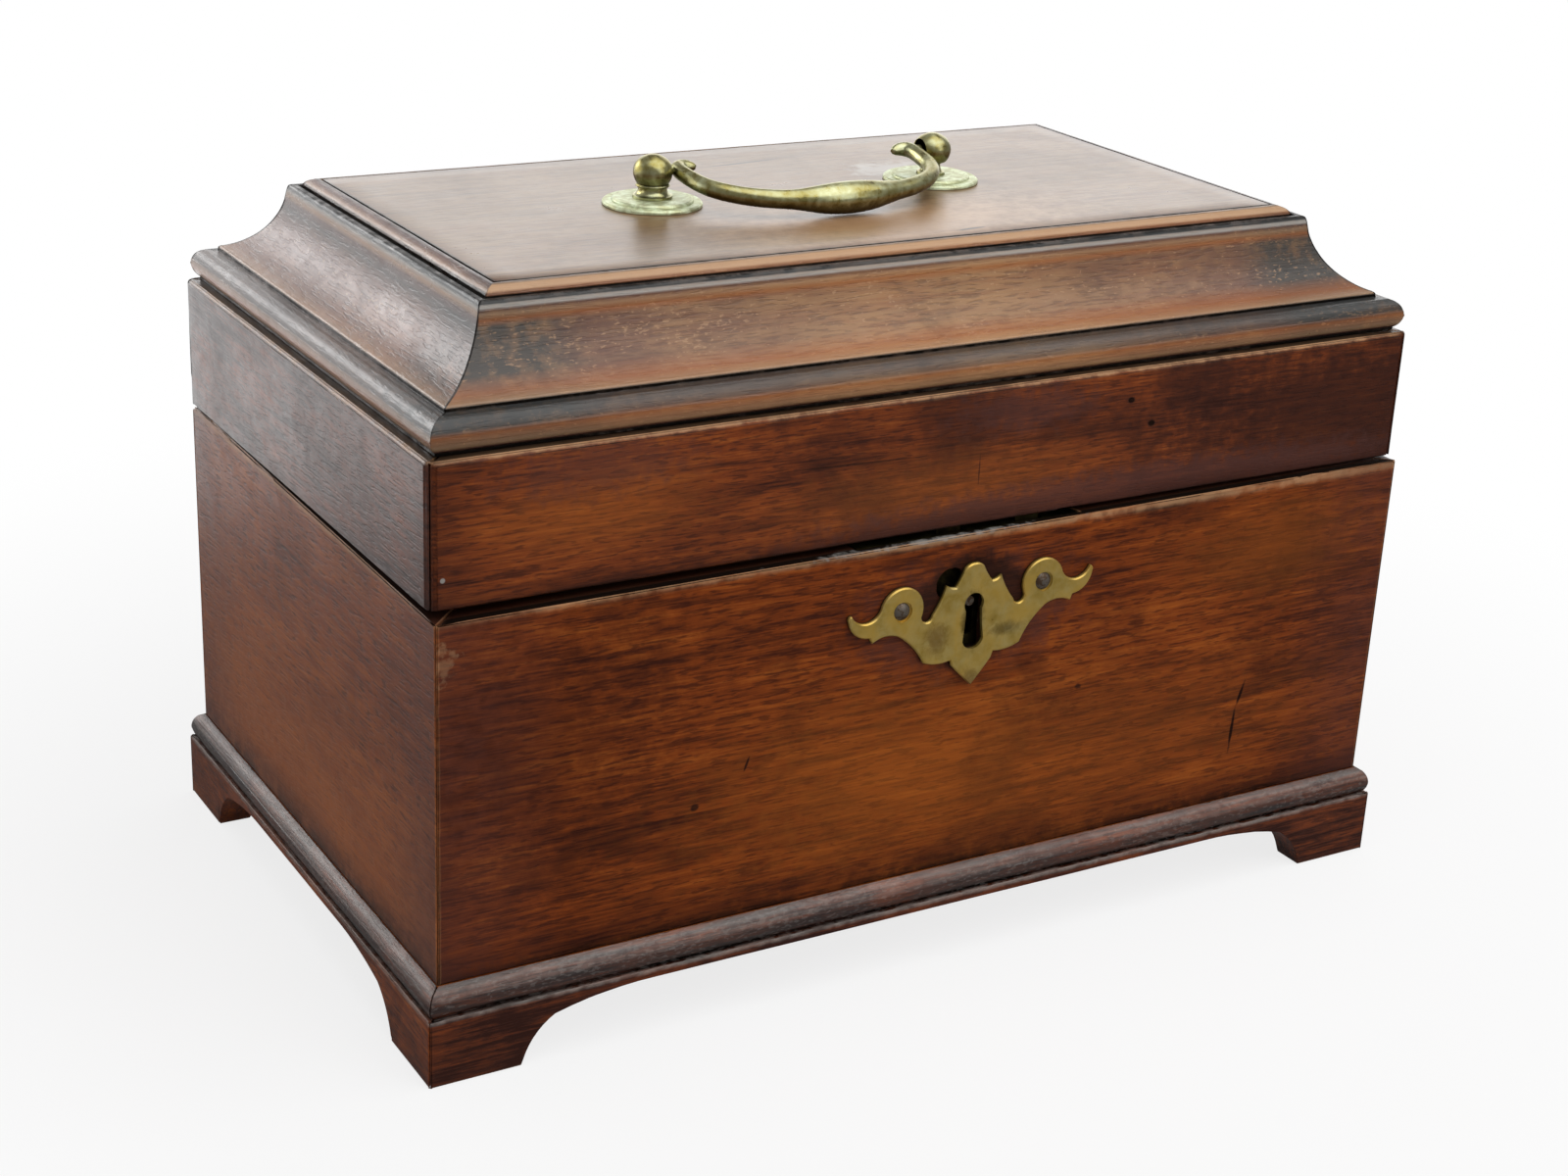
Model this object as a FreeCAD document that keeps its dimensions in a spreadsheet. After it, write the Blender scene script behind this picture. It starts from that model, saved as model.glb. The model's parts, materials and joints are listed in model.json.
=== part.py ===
import FreeCAD, Part
import math
import os
import re
import Sketcher

# Tea caddy: a mahogany chest with a moulded lid, a brass swan-neck bail and a lock.
# X runs along the width, the front faces -Y, Z is up and the feet stand on z = 0.
# Every piece is drawn in its own frame, with its outer face towards -Y, and turned into place.

os.makedirs("parts", exist_ok=True)
doc = FreeCAD.newDocument("TeaCaddy")
sheet = doc.addObject("Spreadsheet::Sheet", "Sizes")

SIZES = {
    # case
    "case_width": (239.0, "outside width of the case"),
    "case_depth": (143.0, "outside depth of the case"),
    "case_top": (99.7, "height of the case rim"),
    "wall": (8.0, "thickness of the boards"),
    "floor_thick": (6.0, "bottom board"),
    "arris": (0.7, "radius of the upright corners of the case"),
    "rim_wear": (1.3, "front rim worn away at its left end"),
    "rim_round": (0.5, "rounded outer edge of the rim"),
    "partition_off": (38.0, "partition from the middle"),
    "partition_thick": (4.0, "partition board"),
    "partition_top": (88.5, "top of the partitions"),
    "dado": (2.0, "depth of the grooves that hold the partitions"),
    "slack": (0.1, "play of a fitted wooden piece"),
    # foot
    "plinth_high": (15.2, "plinth boards"),
    "plinth_out": (3.1, "projection of the plinth"),
    "plinth_thick": (8.0, "plinth boards"),
    "plinth_edge": (0.5, "rounded top edge of the plinth"),
    "foot_long": (20.5, "bracket foot at the floor"),
    "foot_run": (7.2, "run of the bracket curve up to its cusp"),
    "foot_rise": (10.0, "height of the cusp"),
    "apron_run": (30.0, "run of the bracket up to the level apron"),
    "apron_high": (12.9, "clear height under the apron"),
    "block_leg": (12.0, "glue block"),
    "block_low": (1.0, "glue block above the floor"),
    "skirt_high": (6.4, "base moulding"),
    "skirt_foot": (2.1, "base moulding at its lower quirk"),
    "skirt_belly": (2.85, "base moulding at its widest"),
    "skirt_slope": (1.7, "sloping top of the base moulding, outwards"),
    "skirt_drop": (1.0, "sloping top of the base moulding, downwards"),
    # lid
    "lid_gap": (0.6, "seam between lid and case"),
    "set_back": (2.0, "lid front behind the case front"),
    "lid_over": (0.5, "lid beyond the case at each side"),
    "lid_high": (29.6, "rim boards of the lid"),
    "lid_arris": (2.4, "radius of the upright corners of the lid"),
    "lid_round": (1.1, "rounded top edge of the rim boards"),
    "ground_thick": (7.0, "board under the crown"),
    "crown_high": (26.0, "crown moulding"),
    "crown_wide": (23.9, "crown moulding up to the panel"),
    "crown_deep": (28.4, "crown moulding with the ledge under the panel"),
    "quirk_in": (2.7, "quirk under the torus"),
    "quirk_high": (0.6, "quirk under the torus"),
    "torus_out": (1.3, "face of the torus"),
    "torus_mid": (2.4, "height of the face of the torus"),
    "torus_in": (5.0, "upper end of the torus"),
    "torus_high": (6.3, "upper end of the torus"),
    "lip_in": (6.0, "lip under the cove"),
    "lip_high": (8.0, "lip under the cove"),
    "lip_run": (0.7, "rounded top of the lip, inwards"),
    "lip_rise": (0.5, "rounded top of the lip, upwards"),
    "lip_drop": (0.2, "outermost point of the lip below its top"),
    "lip_under": (0.4, "undercut below the lip"),
    "cove_in": (17.8, "upper end of the cove"),
    "cove_high": (20.1, "upper end of the cove"),
    "fillet_in": (19.1, "fillet above the cove"),
    "fillet_high": (21.9, "fillet above the cove"),
    "fillet_wide": (0.7, "flat of the fillet"),
    "fillet_dip": (0.35, "hollow between the fillet and the bead"),
    "bead_in": (20.9, "foot of the bead"),
    "bead_high": (22.7, "foot of the bead"),
    "panel_thick": (6.5, "top panel"),
    "panel_joint": (0.35, "open joint round the panel"),
    # handle
    "left_post": (37.5, "left handle post from the middle of the lid"),
    "right_post": (34.3, "right handle post from the middle of the lid"),
    "post_back": (1.0, "handle posts behind the middle of the lid"),
    "pivot_high": (7.2, "bail axis above the panel"),
    "rose_rad": (11.0, "rose plate"),
    "rose_high": (1.5, "rose plate"),
    "ball_rad": (4.4, "ball of the post"),
    "ball_top": (3.7, "ball above the bail axis"),
    "ball_flat": (3.3, "flat on the inner side of the ball"),
    "shank_rad": (1.5, "threaded shank of the post"),
    "shank_spare": (0.8, "shank beyond its nut"),
    "left_foot": (4.4, "flared foot of the left post"),
    "left_neck": (3.3, "neck of the left post"),
    "right_foot": (3.3, "flared foot of the right post"),
    "right_neck": (2.3, "neck of the right post"),
    "post_rim": (0.6, "upright rim of a post's foot"),
    "post_ring": (0.5, "ring under the ball"),
    "socket_rad": (2.5, "hollow in the ball"),
    "socket_deep": (1.7, "hollow in the ball"),
    "bail_pin": (1.25, "radius of the bail's pins"),
    "run_fit": (0.08, "radial play of a turning pin"),
    "bail_drop": (23.0, "bail axis to the middle of the grip"),
    "bail_wide": (30.1, "half width of the bail"),
    "grip_rad": (3.55, "grip of the bail"),
    "rest_gap": (0.12, "grip above the panel"),
    "pin_short": (0.4, "end of a pin short of the post's middle"),
    "nut_wide": (7.0, "square nut"),
    "nut_high": (2.5, "square nut"),
    # escutcheon and keyhole
    "lock_off": (2.5, "keyhole from the middle"),
    "key_high": (83.5, "key centre above the floor"),
    "plate_half": (31.0, "half width of the escutcheon"),
    "plate_drop": (18.9, "escutcheon below the key centre"),
    "plate_rise": (9.0, "escutcheon above the key centre"),
    "plate_thick": (1.2, "escutcheon"),
    "plate_bevel": (0.3, "bevel round the escutcheon"),
    "plate_tilt": (2.0, "escutcheon out of level, in degrees"),
    "key_rad": (2.45, "round of the keyhole"),
    "key_waist": (2.0, "half width of the keyhole's waist"),
    "key_flare": (2.65, "half width of the keyhole's foot"),
    "key_drop": (10.4, "foot of the keyhole below the key centre"),
    "key_play": (0.4, "keyhole in the wood beyond the one in the plate"),
    "old_hole": (3.4, "older keyhole in the wood"),
    "old_aside": (5.4, "older keyhole left of the key centre"),
    "old_above": (4.8, "older keyhole above the key centre"),
    "pin_off": (17.9, "escutcheon pin from the key centre"),
    "pin_rise": (1.6, "escutcheon pin above the key centre"),
    "pin_head": (1.95, "radius of the pin head"),
    "pin_bed": (2.3, "hollow round the pin head"),
    "pin_sink": (0.4, "foot of the pin head below the face of the escutcheon"),
    "pin_shank": (0.9, "radius of the pin shank"),
    "pin_long": (2.0, "pin in the wood in front of the lock"),
    "pin_dome": (0.85, "domed head of a pin"),
    # lock
    "lock_wide": (44.0, "lock"),
    "lock_low": (66.5, "foot of the lock above the floor"),
    "lock_top": (98.8, "selvedge of the lock"),
    "lock_ear": (6.0, "lock plate beyond the lock case, where its screws go"),
    "lock_front": (2.2, "lock behind the face of the case"),
    "lock_sheet": (1.0, "sheet of the lock case"),
    "lock_plate": (1.2, "lock plate and selvedge"),
    "drill_rad": (1.1, "drill pin of the lock"),
    "drill_front": (0.6, "drill pin behind the face of the case"),
    "bolt_thick": (1.8, "lock bolt"),
    "bolt_front": (3.9, "lock bolt behind the face of the case"),
    "bolt_low": (87.1, "foot of the bolt"),
    "bolt_bar": (2.6, "height of the bolt's bar"),
    "bolt_tail": (9.6, "bolt's bar left of the first hook"),
    "bolt_end": (12.0, "right end of the bolt's bar"),
    "bolt_notch": (2.2, "half width of the notch that the key turns in"),
    "bolt_arch": (1.6, "height of the notch that the key turns in"),
    "bolt_rest": (0.7, "withdrawn finger short of its hook"),
    "spring_rise": (7.0, "spring's foot below the bolt"),
    "spring_tip": (8.0, "spring's tip left of the key centre"),
    "spring_thick": (0.6, "leaf spring"),
    "finger_low": (92.9, "foot of the bolt's fingers"),
    "finger_top": (95.5, "top of the bolt's fingers"),
    "finger_tip": (3.9, "length of a finger"),
    "stub_wide": (3.0, "upright of a finger"),
    "hook_wide": (6.0, "hook of the link plate"),
    "hook_notch": (4.4, "notch in the hook"),
    "hook_thick": (1.6, "hook of the link plate"),
    "hook_low": (90.5, "foot of the hooks"),
    "hook_left": (-7.4, "left side of the first hook"),
    "hook_step": (20.0, "second hook from the first"),
    "hook_play": (0.6, "play round a hook in the selvedge"),
    "swing_play": (0.2, "further play in front of a hook, for its swing"),
    "notch_play": (0.4, "play round a finger in its hook"),
    "link_deep": (6.0, "link plate, front to back"),
    "link_front": (0.6, "link plate behind the front of the lock"),
    # hinges
    "hinge_off": (72.0, "hinge from the middle"),
    "hinge_long": (30.0, "hinge"),
    "hinge_in": (2.0, "hinge axis in front of the back face"),
    "knuckle": (1.8, "radius of the knuckles"),
    "hinge_pin": (0.8, "radius of the hinge pin"),
    "leaf_thick": (0.9, "hinge leaf"),
    "leaf_wide": (6.0, "hinge leaf from the axis to the inner face of its board"),
    "leaf_gap": (0.1, "leaf from the plane of the axis"),
    "turn_gap": (0.3, "play round the knuckles"),
    "bevel_start": (0.2, "stop bevels behind the axis"),
    "case_bevel": (1.2, "stop bevel on the case"),
    "lid_bevel": (4.9, "stop bevel on the lid"),
    # screws
    "screw_head": (1.5, "radius of a screw head"),
    "screw_shank": (0.75, "radius of a screw shank"),
    "screw_long": (6.5, "screw"),
    "slot_wide": (0.4, "slot of a screw"),
    "screw_play": (0.05, "play round a screw in metal"),
}

for row, (alias, (number, note)) in enumerate(SIZES.items(), 1):
    sheet.set(f"A{row}", note)
    sheet.set(f"B{row}", str(number))
    sheet.setAlias(f"B{row}", alias)
doc.recompute()

# Lengths that several pieces share, written in the sheet's names.
CASE_LOW = "(plinth_high + floor_thick)"
LID_LOW = "(case_top + lid_gap)"
LID_TOP = "(case_top + lid_gap + lid_high)"
PANEL_TOP = "(case_top + lid_gap + lid_high + crown_high)"
LID_DEPTH = "(case_depth - set_back)"
LID_WIDTH = "(case_width + 2 * lid_over)"
AXIS_HIGH = "(case_top + lid_gap / 2)"
HINGE_SCREW_ALONG = "hinge_long * 0.3"
HINGE_SCREW_IN = "leaf_wide * 0.65"
TURNS = {"front": 0, "right": 90, "back": 180, "left": 270}
SIN45 = math.sqrt(0.5)
WORD = re.compile(r"[a-z]+(?:_[a-z]+)*")
MARGIN = 5.0
POSTS = {"left": "-left_post", "right": "right_post"}
# Screws, from the middle of the lock: in the lock plate (across, above the floor), in the link plate.
LOCK_SCREWS = ((-25.0, 71.5), (25.0, 71.5), (-25.0, 91.5), (25.0, 91.5))
LINK_SCREWS = (-16.0, 5.6)
# Shares of run and rise at which a curve is led through a point.
FOOT_CURVE = (0.36, 0.58)
APRON_CURVE = (0.36, 0.62)
COVE_CURVE = (0.66, 0.40)
BEAD_CURVE = (0.32, 0.76)
# Height of the ring under a post's ball, and start of the bail's pin, as shares.
RING_SHARE = 0.62
PIN_SHARE = 0.985
# Turn of the two nuts out of square, in degrees.
NUT_TURN = 8.0


def linked(formula):
    """Write a formula in the sheet's names as an expression that refers to the sheet."""
    return WORD.sub(lambda word: f"Sizes.{word[0]}" if word[0] in SIZES else word[0], str(formula))


def size(formula):
    """Number that a formula in the sheet's names comes to."""
    return float(sheet.evalExpression(linked(formula)))


def new_body(label):
    body = doc.addObject("PartDesign::Body", label)
    body.Label = label
    return body


def place(item, x="0", y="0", z="0", turn=0, axis=(0, 0, 1)):
    """Put a piece at a point given by three formulas, turned about an axis."""
    base = FreeCAD.Vector(size(x), size(y), size(z))
    item.Placement = FreeCAD.Placement(base, FreeCAD.Rotation(FreeCAD.Vector(*axis), turn))
    for name, formula in zip("xyz", (x, y, z)):
        item.setExpression(f"Placement.Base.{name}", linked(formula))


def place_in_lid(item, turn=0):
    place(item, "0", "set_back / 2", "0", turn)


def place_in_lock(item):
    place(item, "lock_off", "-case_depth / 2", "0")


def new_sketch(body, role, lift="0"):
    """Sketch on one of the body's own origin planes, moved along its normal."""
    sketch = body.newObject("Sketcher::SketchObject", "Outline")
    plane = next(item for item in body.Origin.OriginFeatures if item.Role == role)
    sketch.AttachmentSupport = [(plane, "")]
    sketch.MapMode = "FlatFace"
    sketch.setExpression("AttachmentOffset.Base.z", linked(lift))
    return sketch


def fix_point(sketch, geometry, end, across, up):
    """Tie a point of the sketch to two formulas, measured from the sketch's origin."""
    for kind, formula in (("DistanceX", across), ("DistanceY", up)):
        rule = Sketcher.Constraint(kind, -1, 1, geometry, end, size(formula))
        index = sketch.addConstraint(rule)
        sketch.setExpression(f"Constraints[{index}]", linked(formula))


def trace(sketch, corners):
    """Closed outline. A corner is (across, up), or (across, up, via across, via up)
    where the side that arrives at it is an arc through the via point."""
    spots = [FreeCAD.Vector(size(corner[0]), size(corner[1]), 0) for corner in corners]
    sides = []
    for index, start in enumerate(spots):
        arrive = (index + 1) % len(spots)
        end = spots[arrive]
        via = corners[arrive][2:]
        if not via:
            line = sketch.addGeometry(Part.LineSegment(start, end))
            sides.append((line, 1, 2))
            continue
        middle = FreeCAD.Vector(size(via[0]), size(via[1]), 0)
        centre = Part.Arc(start, middle, end).toShape().Curve.Center
        circle = Part.Circle(centre, FreeCAD.Vector(0, 0, 1), (start - centre).Length)
        left_turn = (middle - start).cross(end - middle).z > 0
        first, last = (start, end) if left_turn else (end, start)
        angles = [math.atan2(spot.y - centre.y, spot.x - centre.x) for spot in (first, last)]
        if angles[1] < angles[0]:
            angles[1] += 2 * math.pi
        arc = sketch.addGeometry(Part.ArcOfCircle(circle, *angles))
        sides.append((arc, 1, 2) if left_turn else (arc, 2, 1))
        mark = sketch.addGeometry(Part.Point(middle), True)
        sketch.addConstraint(Sketcher.Constraint("PointOnObject", mark, 1, arc))
        fix_point(sketch, mark, 1, *via)
    for index, (side, start_end, _) in enumerate(sides):
        before, _, before_end = sides[index - 1]
        sketch.addConstraint(Sketcher.Constraint("Coincident", before, before_end, side, start_end))
        fix_point(sketch, side, start_end, *corners[index][:2])


def ring(sketch, across, up, radius):
    """Circle in a sketch, given by three formulas."""
    centre = FreeCAD.Vector(size(across), size(up), 0)
    circle = sketch.addGeometry(Part.Circle(centre, FreeCAD.Vector(0, 0, 1), size(radius)))
    fix_point(sketch, circle, 3, across, up)
    index = sketch.addConstraint(Sketcher.Constraint("Radius", circle, size(radius)))
    sketch.setExpression(f"Constraints[{index}]", linked(radius))


def box_corners(left, low, right, high):
    return [(left, low), (right, low), (right, high), (left, high)]


def pad(body, sketch, length, symmetric=False, reverse=False):
    feature = body.newObject("PartDesign::Pad", "Pad")
    feature.Profile = sketch
    feature.SideType = "Symmetric" if symmetric else "One side"
    feature.Reversed = reverse
    feature.setExpression("Length", linked(length))
    return feature


def cut_through(body, sketch):
    """Cut a sketch through the whole piece, to both sides of its plane."""
    feature = body.newObject("PartDesign::Pocket", "Cut")
    feature.Profile = sketch
    feature.Type = "ThroughAll"
    feature.SideType = "Symmetric"
    return feature


def cut(body, sketch, depth, reverse=False):
    """Cut a sketch to a depth, against its normal or, reversed, along it."""
    feature = body.newObject("PartDesign::Pocket", "Cut")
    feature.Profile = sketch
    feature.Reversed = reverse
    feature.setExpression("Length", linked(depth))
    return feature


def revolve(body, sketch):
    """Turn a sketch on the XZ plane round the body's Z axis."""
    feature = body.newObject("PartDesign::Revolution", "Turned")
    feature.Profile = sketch
    feature.ReferenceAxis = (sketch, ["V_Axis"])
    feature.Angle = 360
    return feature


def edges_of(feature, test):
    """Names of a feature's edges whose middle point passes a test."""
    doc.recompute()
    names = []
    for index, edge in enumerate(feature.Shape.Edges, 1):
        middle = edge.valueAt((edge.FirstParameter + edge.LastParameter) / 2)
        if test(middle):
            names.append(f"Edge{index}")
    return names


def soften(body, feature, kind, length, test):
    """Fillet or chamfer the edges of a feature that pass a test."""
    names = edges_of(feature, test)
    softened = body.newObject(f"PartDesign::{kind}", kind)
    softened.Base = (feature, names)
    softened.setExpression("Radius" if kind == "Fillet" else "Size", linked(length))
    return softened


def countersink(body, sketch, along):
    """Countersunk screw holes at the circles of a sketch, along its normal or against it."""
    doc.recompute()
    hole = body.newObject("PartDesign::Hole", "ScrewHoles")
    hole.Profile = sketch
    hole.DepthType = "ThroughAll"
    hole.Reversed = along
    hole.setExpression("Diameter", linked("2 * (screw_shank + screw_play)"))
    hole.HoleCutType = "Countersink"
    hole.HoleCutCustomValues = True
    hole.setExpression("HoleCutDiameter", linked("2 * (screw_head + screw_play)"))
    hole.HoleCutCountersinkAngle = 90


def mitred_plan(run, reach, thick, corner):
    """Plan of a board whose ends are mitred and whose outer corners are rounded."""
    left, right, face = f"-{run} / 2", f"{run} / 2", f"-{reach} / 2"
    meet = 1 - SIN45
    lean_across, lean_up = 1 - math.sin(math.pi / 8), 1 - math.cos(math.pi / 8)
    return [
        (f"{left} + {meet} * {corner}", f"{face} + {meet} * {corner}"),
        (f"{left} + {corner}", face,
         f"{left} + {lean_across} * {corner}", f"{face} + {lean_up} * {corner}"),
        (f"{right} - {corner}", face),
        (f"{right} - {meet} * {corner}", f"{face} + {meet} * {corner}",
         f"{right} - {lean_across} * {corner}", f"{face} + {lean_up} * {corner}"),
        (f"{right} - {thick}", f"{face} + {thick}"),
        (f"{left} + {thick}", f"{face} + {thick}"),
    ]


def mitred_board(label, run, reach, thick, corner, low, high):
    body = new_body(label)
    plan = new_sketch(body, "XY_Plane", low)
    trace(plan, mitred_plan(run, reach, thick, corner))
    return body, pad(body, plan, f"{high} - {low}")


def mitred_strip(label, run, reach, profile, inner):
    """Length of moulding, run along X from a profile and mitred at both ends."""
    body = new_body(label)
    section = new_sketch(body, "YZ_Plane")
    trace(section, profile)
    pad(body, section, f"{run} + {2 * MARGIN}", symmetric=True)
    ends = new_sketch(body, "XY_Plane")
    for side in (-1, 1):
        far = f"{side} * ({run} / 2 + {2 * MARGIN})"
        near = f"-{reach} / 2 - {MARGIN}"
        deep = f"-{reach} / 2 + {inner} + {MARGIN}"
        trace(ends, [
            (far, near),
            (f"{side} * ({run} / 2 + {MARGIN})", near),
            (f"{side} * ({run} / 2 - {inner} - {MARGIN})", deep),
            (far, deep),
        ])
    cut_through(body, ends)
    return body


def run_and_reach(side, width, depth):
    return (width, depth) if side in ("front", "back") else (depth, width)


# Case boards: what is cut into them, then the four boards, the bottom and the partitions.
def hinge_relief(body, low_side, axis_across):
    """Room in a back board for the knuckles and leaves of both hinges."""
    for side in (-1, 1):
        middle = f"({side} * hinge_off)"
        round_room = new_sketch(body, "YZ_Plane", f"{middle} - hinge_long / 2 - turn_gap")
        ring(round_room, axis_across, AXIS_HIGH, "knuckle + turn_gap")
        cut(body, round_room, "hinge_long + 2 * turn_gap", reverse=True)
        level = f"{AXIS_HIGH} {'+' if low_side else '-'} (leaf_gap + leaf_thick)"
        bed = new_sketch(body, "XY_Plane", level)
        trace(bed, box_corners(f"{middle} - hinge_long / 2 - slack", axis_across,
                               f"{middle} + hinge_long / 2 + slack",
                               f"{axis_across} + leaf_wide + slack"))
        cut(body, bed, f"leaf_thick + {MARGIN}", reverse=not low_side)
        pilots = new_sketch(body, "XY_Plane", AXIS_HIGH)
        for screw in (-1, 1):
            ring(pilots, f"{middle} + {screw} * {HINGE_SCREW_ALONG}",
                 f"{axis_across} + {HINGE_SCREW_IN}", "screw_shank")
        cut(body, pilots, "screw_long + leaf_gap", reverse=low_side)


# The back edge of the seam in each board that reaches it: the plane to draw it on, and its direction.
BACK_EDGE = {"back": ("YZ_Plane", -1), "left": ("XZ_Plane", -1), "right": ("XZ_Plane", 1)}


def stop_bevel(body, side, depth, level, rise):
    """Bevel along the back edge of the seam, where the open lid comes to rest."""
    plane, way = BACK_EDGE[side]
    section = new_sketch(body, plane)
    start = f"{way} * ({depth} / 2 - hinge_in + bevel_start)"
    outside = f"{way} * ({depth} / 2 + {MARGIN})"
    beyond = f"{level} - {MARGIN} * ({rise}) / abs({rise})"
    trace(section, [
        (start, level),
        (f"{way} * {depth} / 2", f"{level} + {rise}"),
        (outside, f"{level} + {rise}"),
        (outside, beyond),
        (start, beyond),
    ])
    cut_through(body, section)


def dadoes(body):
    """Upright grooves in the inner face for the two partitions."""
    plan = new_sketch(body, "XY_Plane", CASE_LOW)
    for side in (-1, 1):
        middle = f"{side} * partition_off"
        inner = "-case_depth / 2 + wall"
        trace(plan, box_corners(f"{middle} - partition_thick / 2 - slack", f"{inner} - dado",
                                f"{middle} + partition_thick / 2 + slack", f"{inner} + {MARGIN}"))
    cut(body, plan, f"partition_top - {CASE_LOW}", reverse=True)


def worn_rim(body, run, worn_end):
    """Slope of the rim, from full height at one end down to the worn end."""
    face = new_sketch(body, "XZ_Plane")
    trace(face, [
        (f"{worn_end} * {run} / 2", "case_top - rim_wear"),
        (f"-({worn_end}) * {run} / 2", "case_top"),
        (f"-({worn_end}) * {run} / 2", f"case_top + {MARGIN}"),
        (f"{worn_end} * {run} / 2", f"case_top + {MARGIN}"),
    ])
    return cut_through(body, face)


def lock_mortise(body):
    """Room for the lock, open to the inside and at the rim, and both keyholes in front of it."""
    inner = "case_depth / 2 - wall"
    room = new_sketch(body, "XZ_Plane", inner)
    trace(room, box_corners("lock_off - lock_wide / 2 - slack", "lock_low - slack",
                            "lock_off + lock_wide / 2 + slack", f"case_top + {MARGIN}"))
    cut(body, room, "wall - lock_front + slack", reverse=True)
    half = "(lock_wide / 2 + lock_ear + slack)"
    bed = new_sketch(body, "XZ_Plane", inner)
    trace(bed, box_corners(f"lock_off - {half}", "lock_low - slack", f"lock_off + {half}",
                           f"case_top + {MARGIN}"))
    cut(body, bed, "lock_plate", reverse=True)
    rim_bed = new_sketch(body, "XY_Plane", "lock_top - lock_plate")
    trace(rim_bed, box_corners(f"lock_off - {half}", "-case_depth / 2 + lock_front - slack",
                               f"lock_off + {half}", f"-({inner}) + {MARGIN}"))
    cut(body, rim_bed, f"{MARGIN}", reverse=True)
    pilots = new_sketch(body, "XZ_Plane", inner)
    for across, up in LOCK_SCREWS:
        ring(pilots, f"lock_off + {across}", str(up), "screw_shank")
    cut(body, pilots, "screw_long", reverse=True)
    hole = new_sketch(body, "XZ_Plane")
    ring(hole, "lock_off - old_aside", "key_high + old_above", "old_hole")
    cut_through(body, hole)
    slot = new_sketch(body, "XZ_Plane")
    trace(slot, box_corners("lock_off - key_flare - key_play", "key_high - key_drop",
                            "lock_off + key_flare + key_play", "key_high + old_above"))
    cut_through(body, slot)
    pins = new_sketch(body, "XZ_Plane", f"case_depth / 2 + {MARGIN}")
    tilt = math.radians(size("plate_tilt"))
    for side in (-1, 1):
        ring(pins, f"lock_off + {side} * pin_off * {math.cos(tilt)} - pin_rise * {math.sin(tilt)}",
             f"key_high + pin_rise * {math.cos(tilt)} + {side} * pin_off * {math.sin(tilt)}",
             "pin_shank")
    cut(body, pins, f"pin_long + {MARGIN}")


for side, turn in TURNS.items():
    run, reach = run_and_reach(side, "case_width", "case_depth")
    body, board = mitred_board(f"{side}_board", run, reach, "wall", "arris", CASE_LOW, "case_top")
    top, face = size("case_top"), -size(reach) / 2
    soften(body, board, "Fillet", "rim_round",
           lambda spot: abs(spot.z - top) < 0.01 and spot.y < face + size("arris"))
    if side == "front":
        worn_rim(body, run, -1)
        dadoes(body)
        lock_mortise(body)
    if side == "left":
        worn_rim(body, run, 1)
    if side in BACK_EDGE:
        stop_bevel(body, side, "case_depth", "case_top", "-case_bevel")
    if side == "back":
        dadoes(body)
        hinge_relief(body, False, "(hinge_in - case_depth / 2)")
    place(body, turn=turn)

bottom = doc.addObject("Part::Box", "bottom_board")
bottom.Label = "bottom_board"
bottom.setExpression("Length", linked("case_width"))
bottom.setExpression("Width", linked("case_depth"))
bottom.setExpression("Height", linked("floor_thick"))
place(bottom, "-case_width / 2", "-case_depth / 2", "plinth_high")

for name, side in (("left", -1), ("right", 1)):
    partition = doc.addObject("Part::Box", f"partition_{name}")
    partition.Label = f"partition_{name}"
    partition.setExpression("Length", linked("partition_thick"))
    partition.setExpression("Width", linked("case_depth - 2 * wall + 2 * dado - 2 * slack"))
    partition.setExpression("Height", linked(f"partition_top - {CASE_LOW}"))
    place(partition, f"{side} * partition_off - partition_thick / 2",
          "-case_depth / 2 + wall - dado + slack", CASE_LOW)


# Foot: bracket plinth, its glue blocks and the base moulding above it.
def bracket_cut(body, run):
    """Space between two bracket feet: a steep curve up to a cusp, then a low one to the apron."""
    face = new_sketch(body, "XZ_Plane")
    foot, cusp, level = "foot_long", "foot_long + foot_run", "foot_long + apron_run"
    left, right = f"-({run}) / 2", f"({run}) / 2"
    steep = (f"foot_long + foot_run * {FOOT_CURVE[0]}", f"foot_rise * {FOOT_CURVE[1]}")
    low = (f"foot_long + foot_run + (apron_run - foot_run) * {APRON_CURVE[0]}",
           f"foot_rise + (apron_high - foot_rise) * {APRON_CURVE[1]}")
    trace(face, [
        (f"{left} + {foot}", f"-{MARGIN}"),
        (f"{right} - ({foot})", f"-{MARGIN}"),
        (f"{right} - ({foot})", "0"),
        (f"{right} - ({cusp})", "foot_rise", f"{right} - ({steep[0]})", steep[1]),
        (f"{right} - ({level})", "apron_high", f"{right} - ({low[0]})", low[1]),
        (f"{left} + {level}", "apron_high"),
        (f"{left} + {cusp}", "foot_rise", f"{left} + {low[0]}", low[1]),
        (f"{left} + {foot}", "0", f"{left} + {steep[0]}", steep[1]),
    ])
    cut_through(body, face)


def skirt_profile(reach):
    """Base moulding: a slope out from the case, then a torus down to a quirk on the plinth."""
    face = f"-{reach} / 2"
    top = "plinth_high + skirt_high"
    return [
        (face, "plinth_high"),
        (face, top),
        (f"{face} - skirt_slope", f"{top} - skirt_drop"),
        (f"{face} - skirt_foot", "plinth_high",
         f"{face} - skirt_belly", "plinth_high + (skirt_high - skirt_drop) / 2"),
    ]


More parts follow.
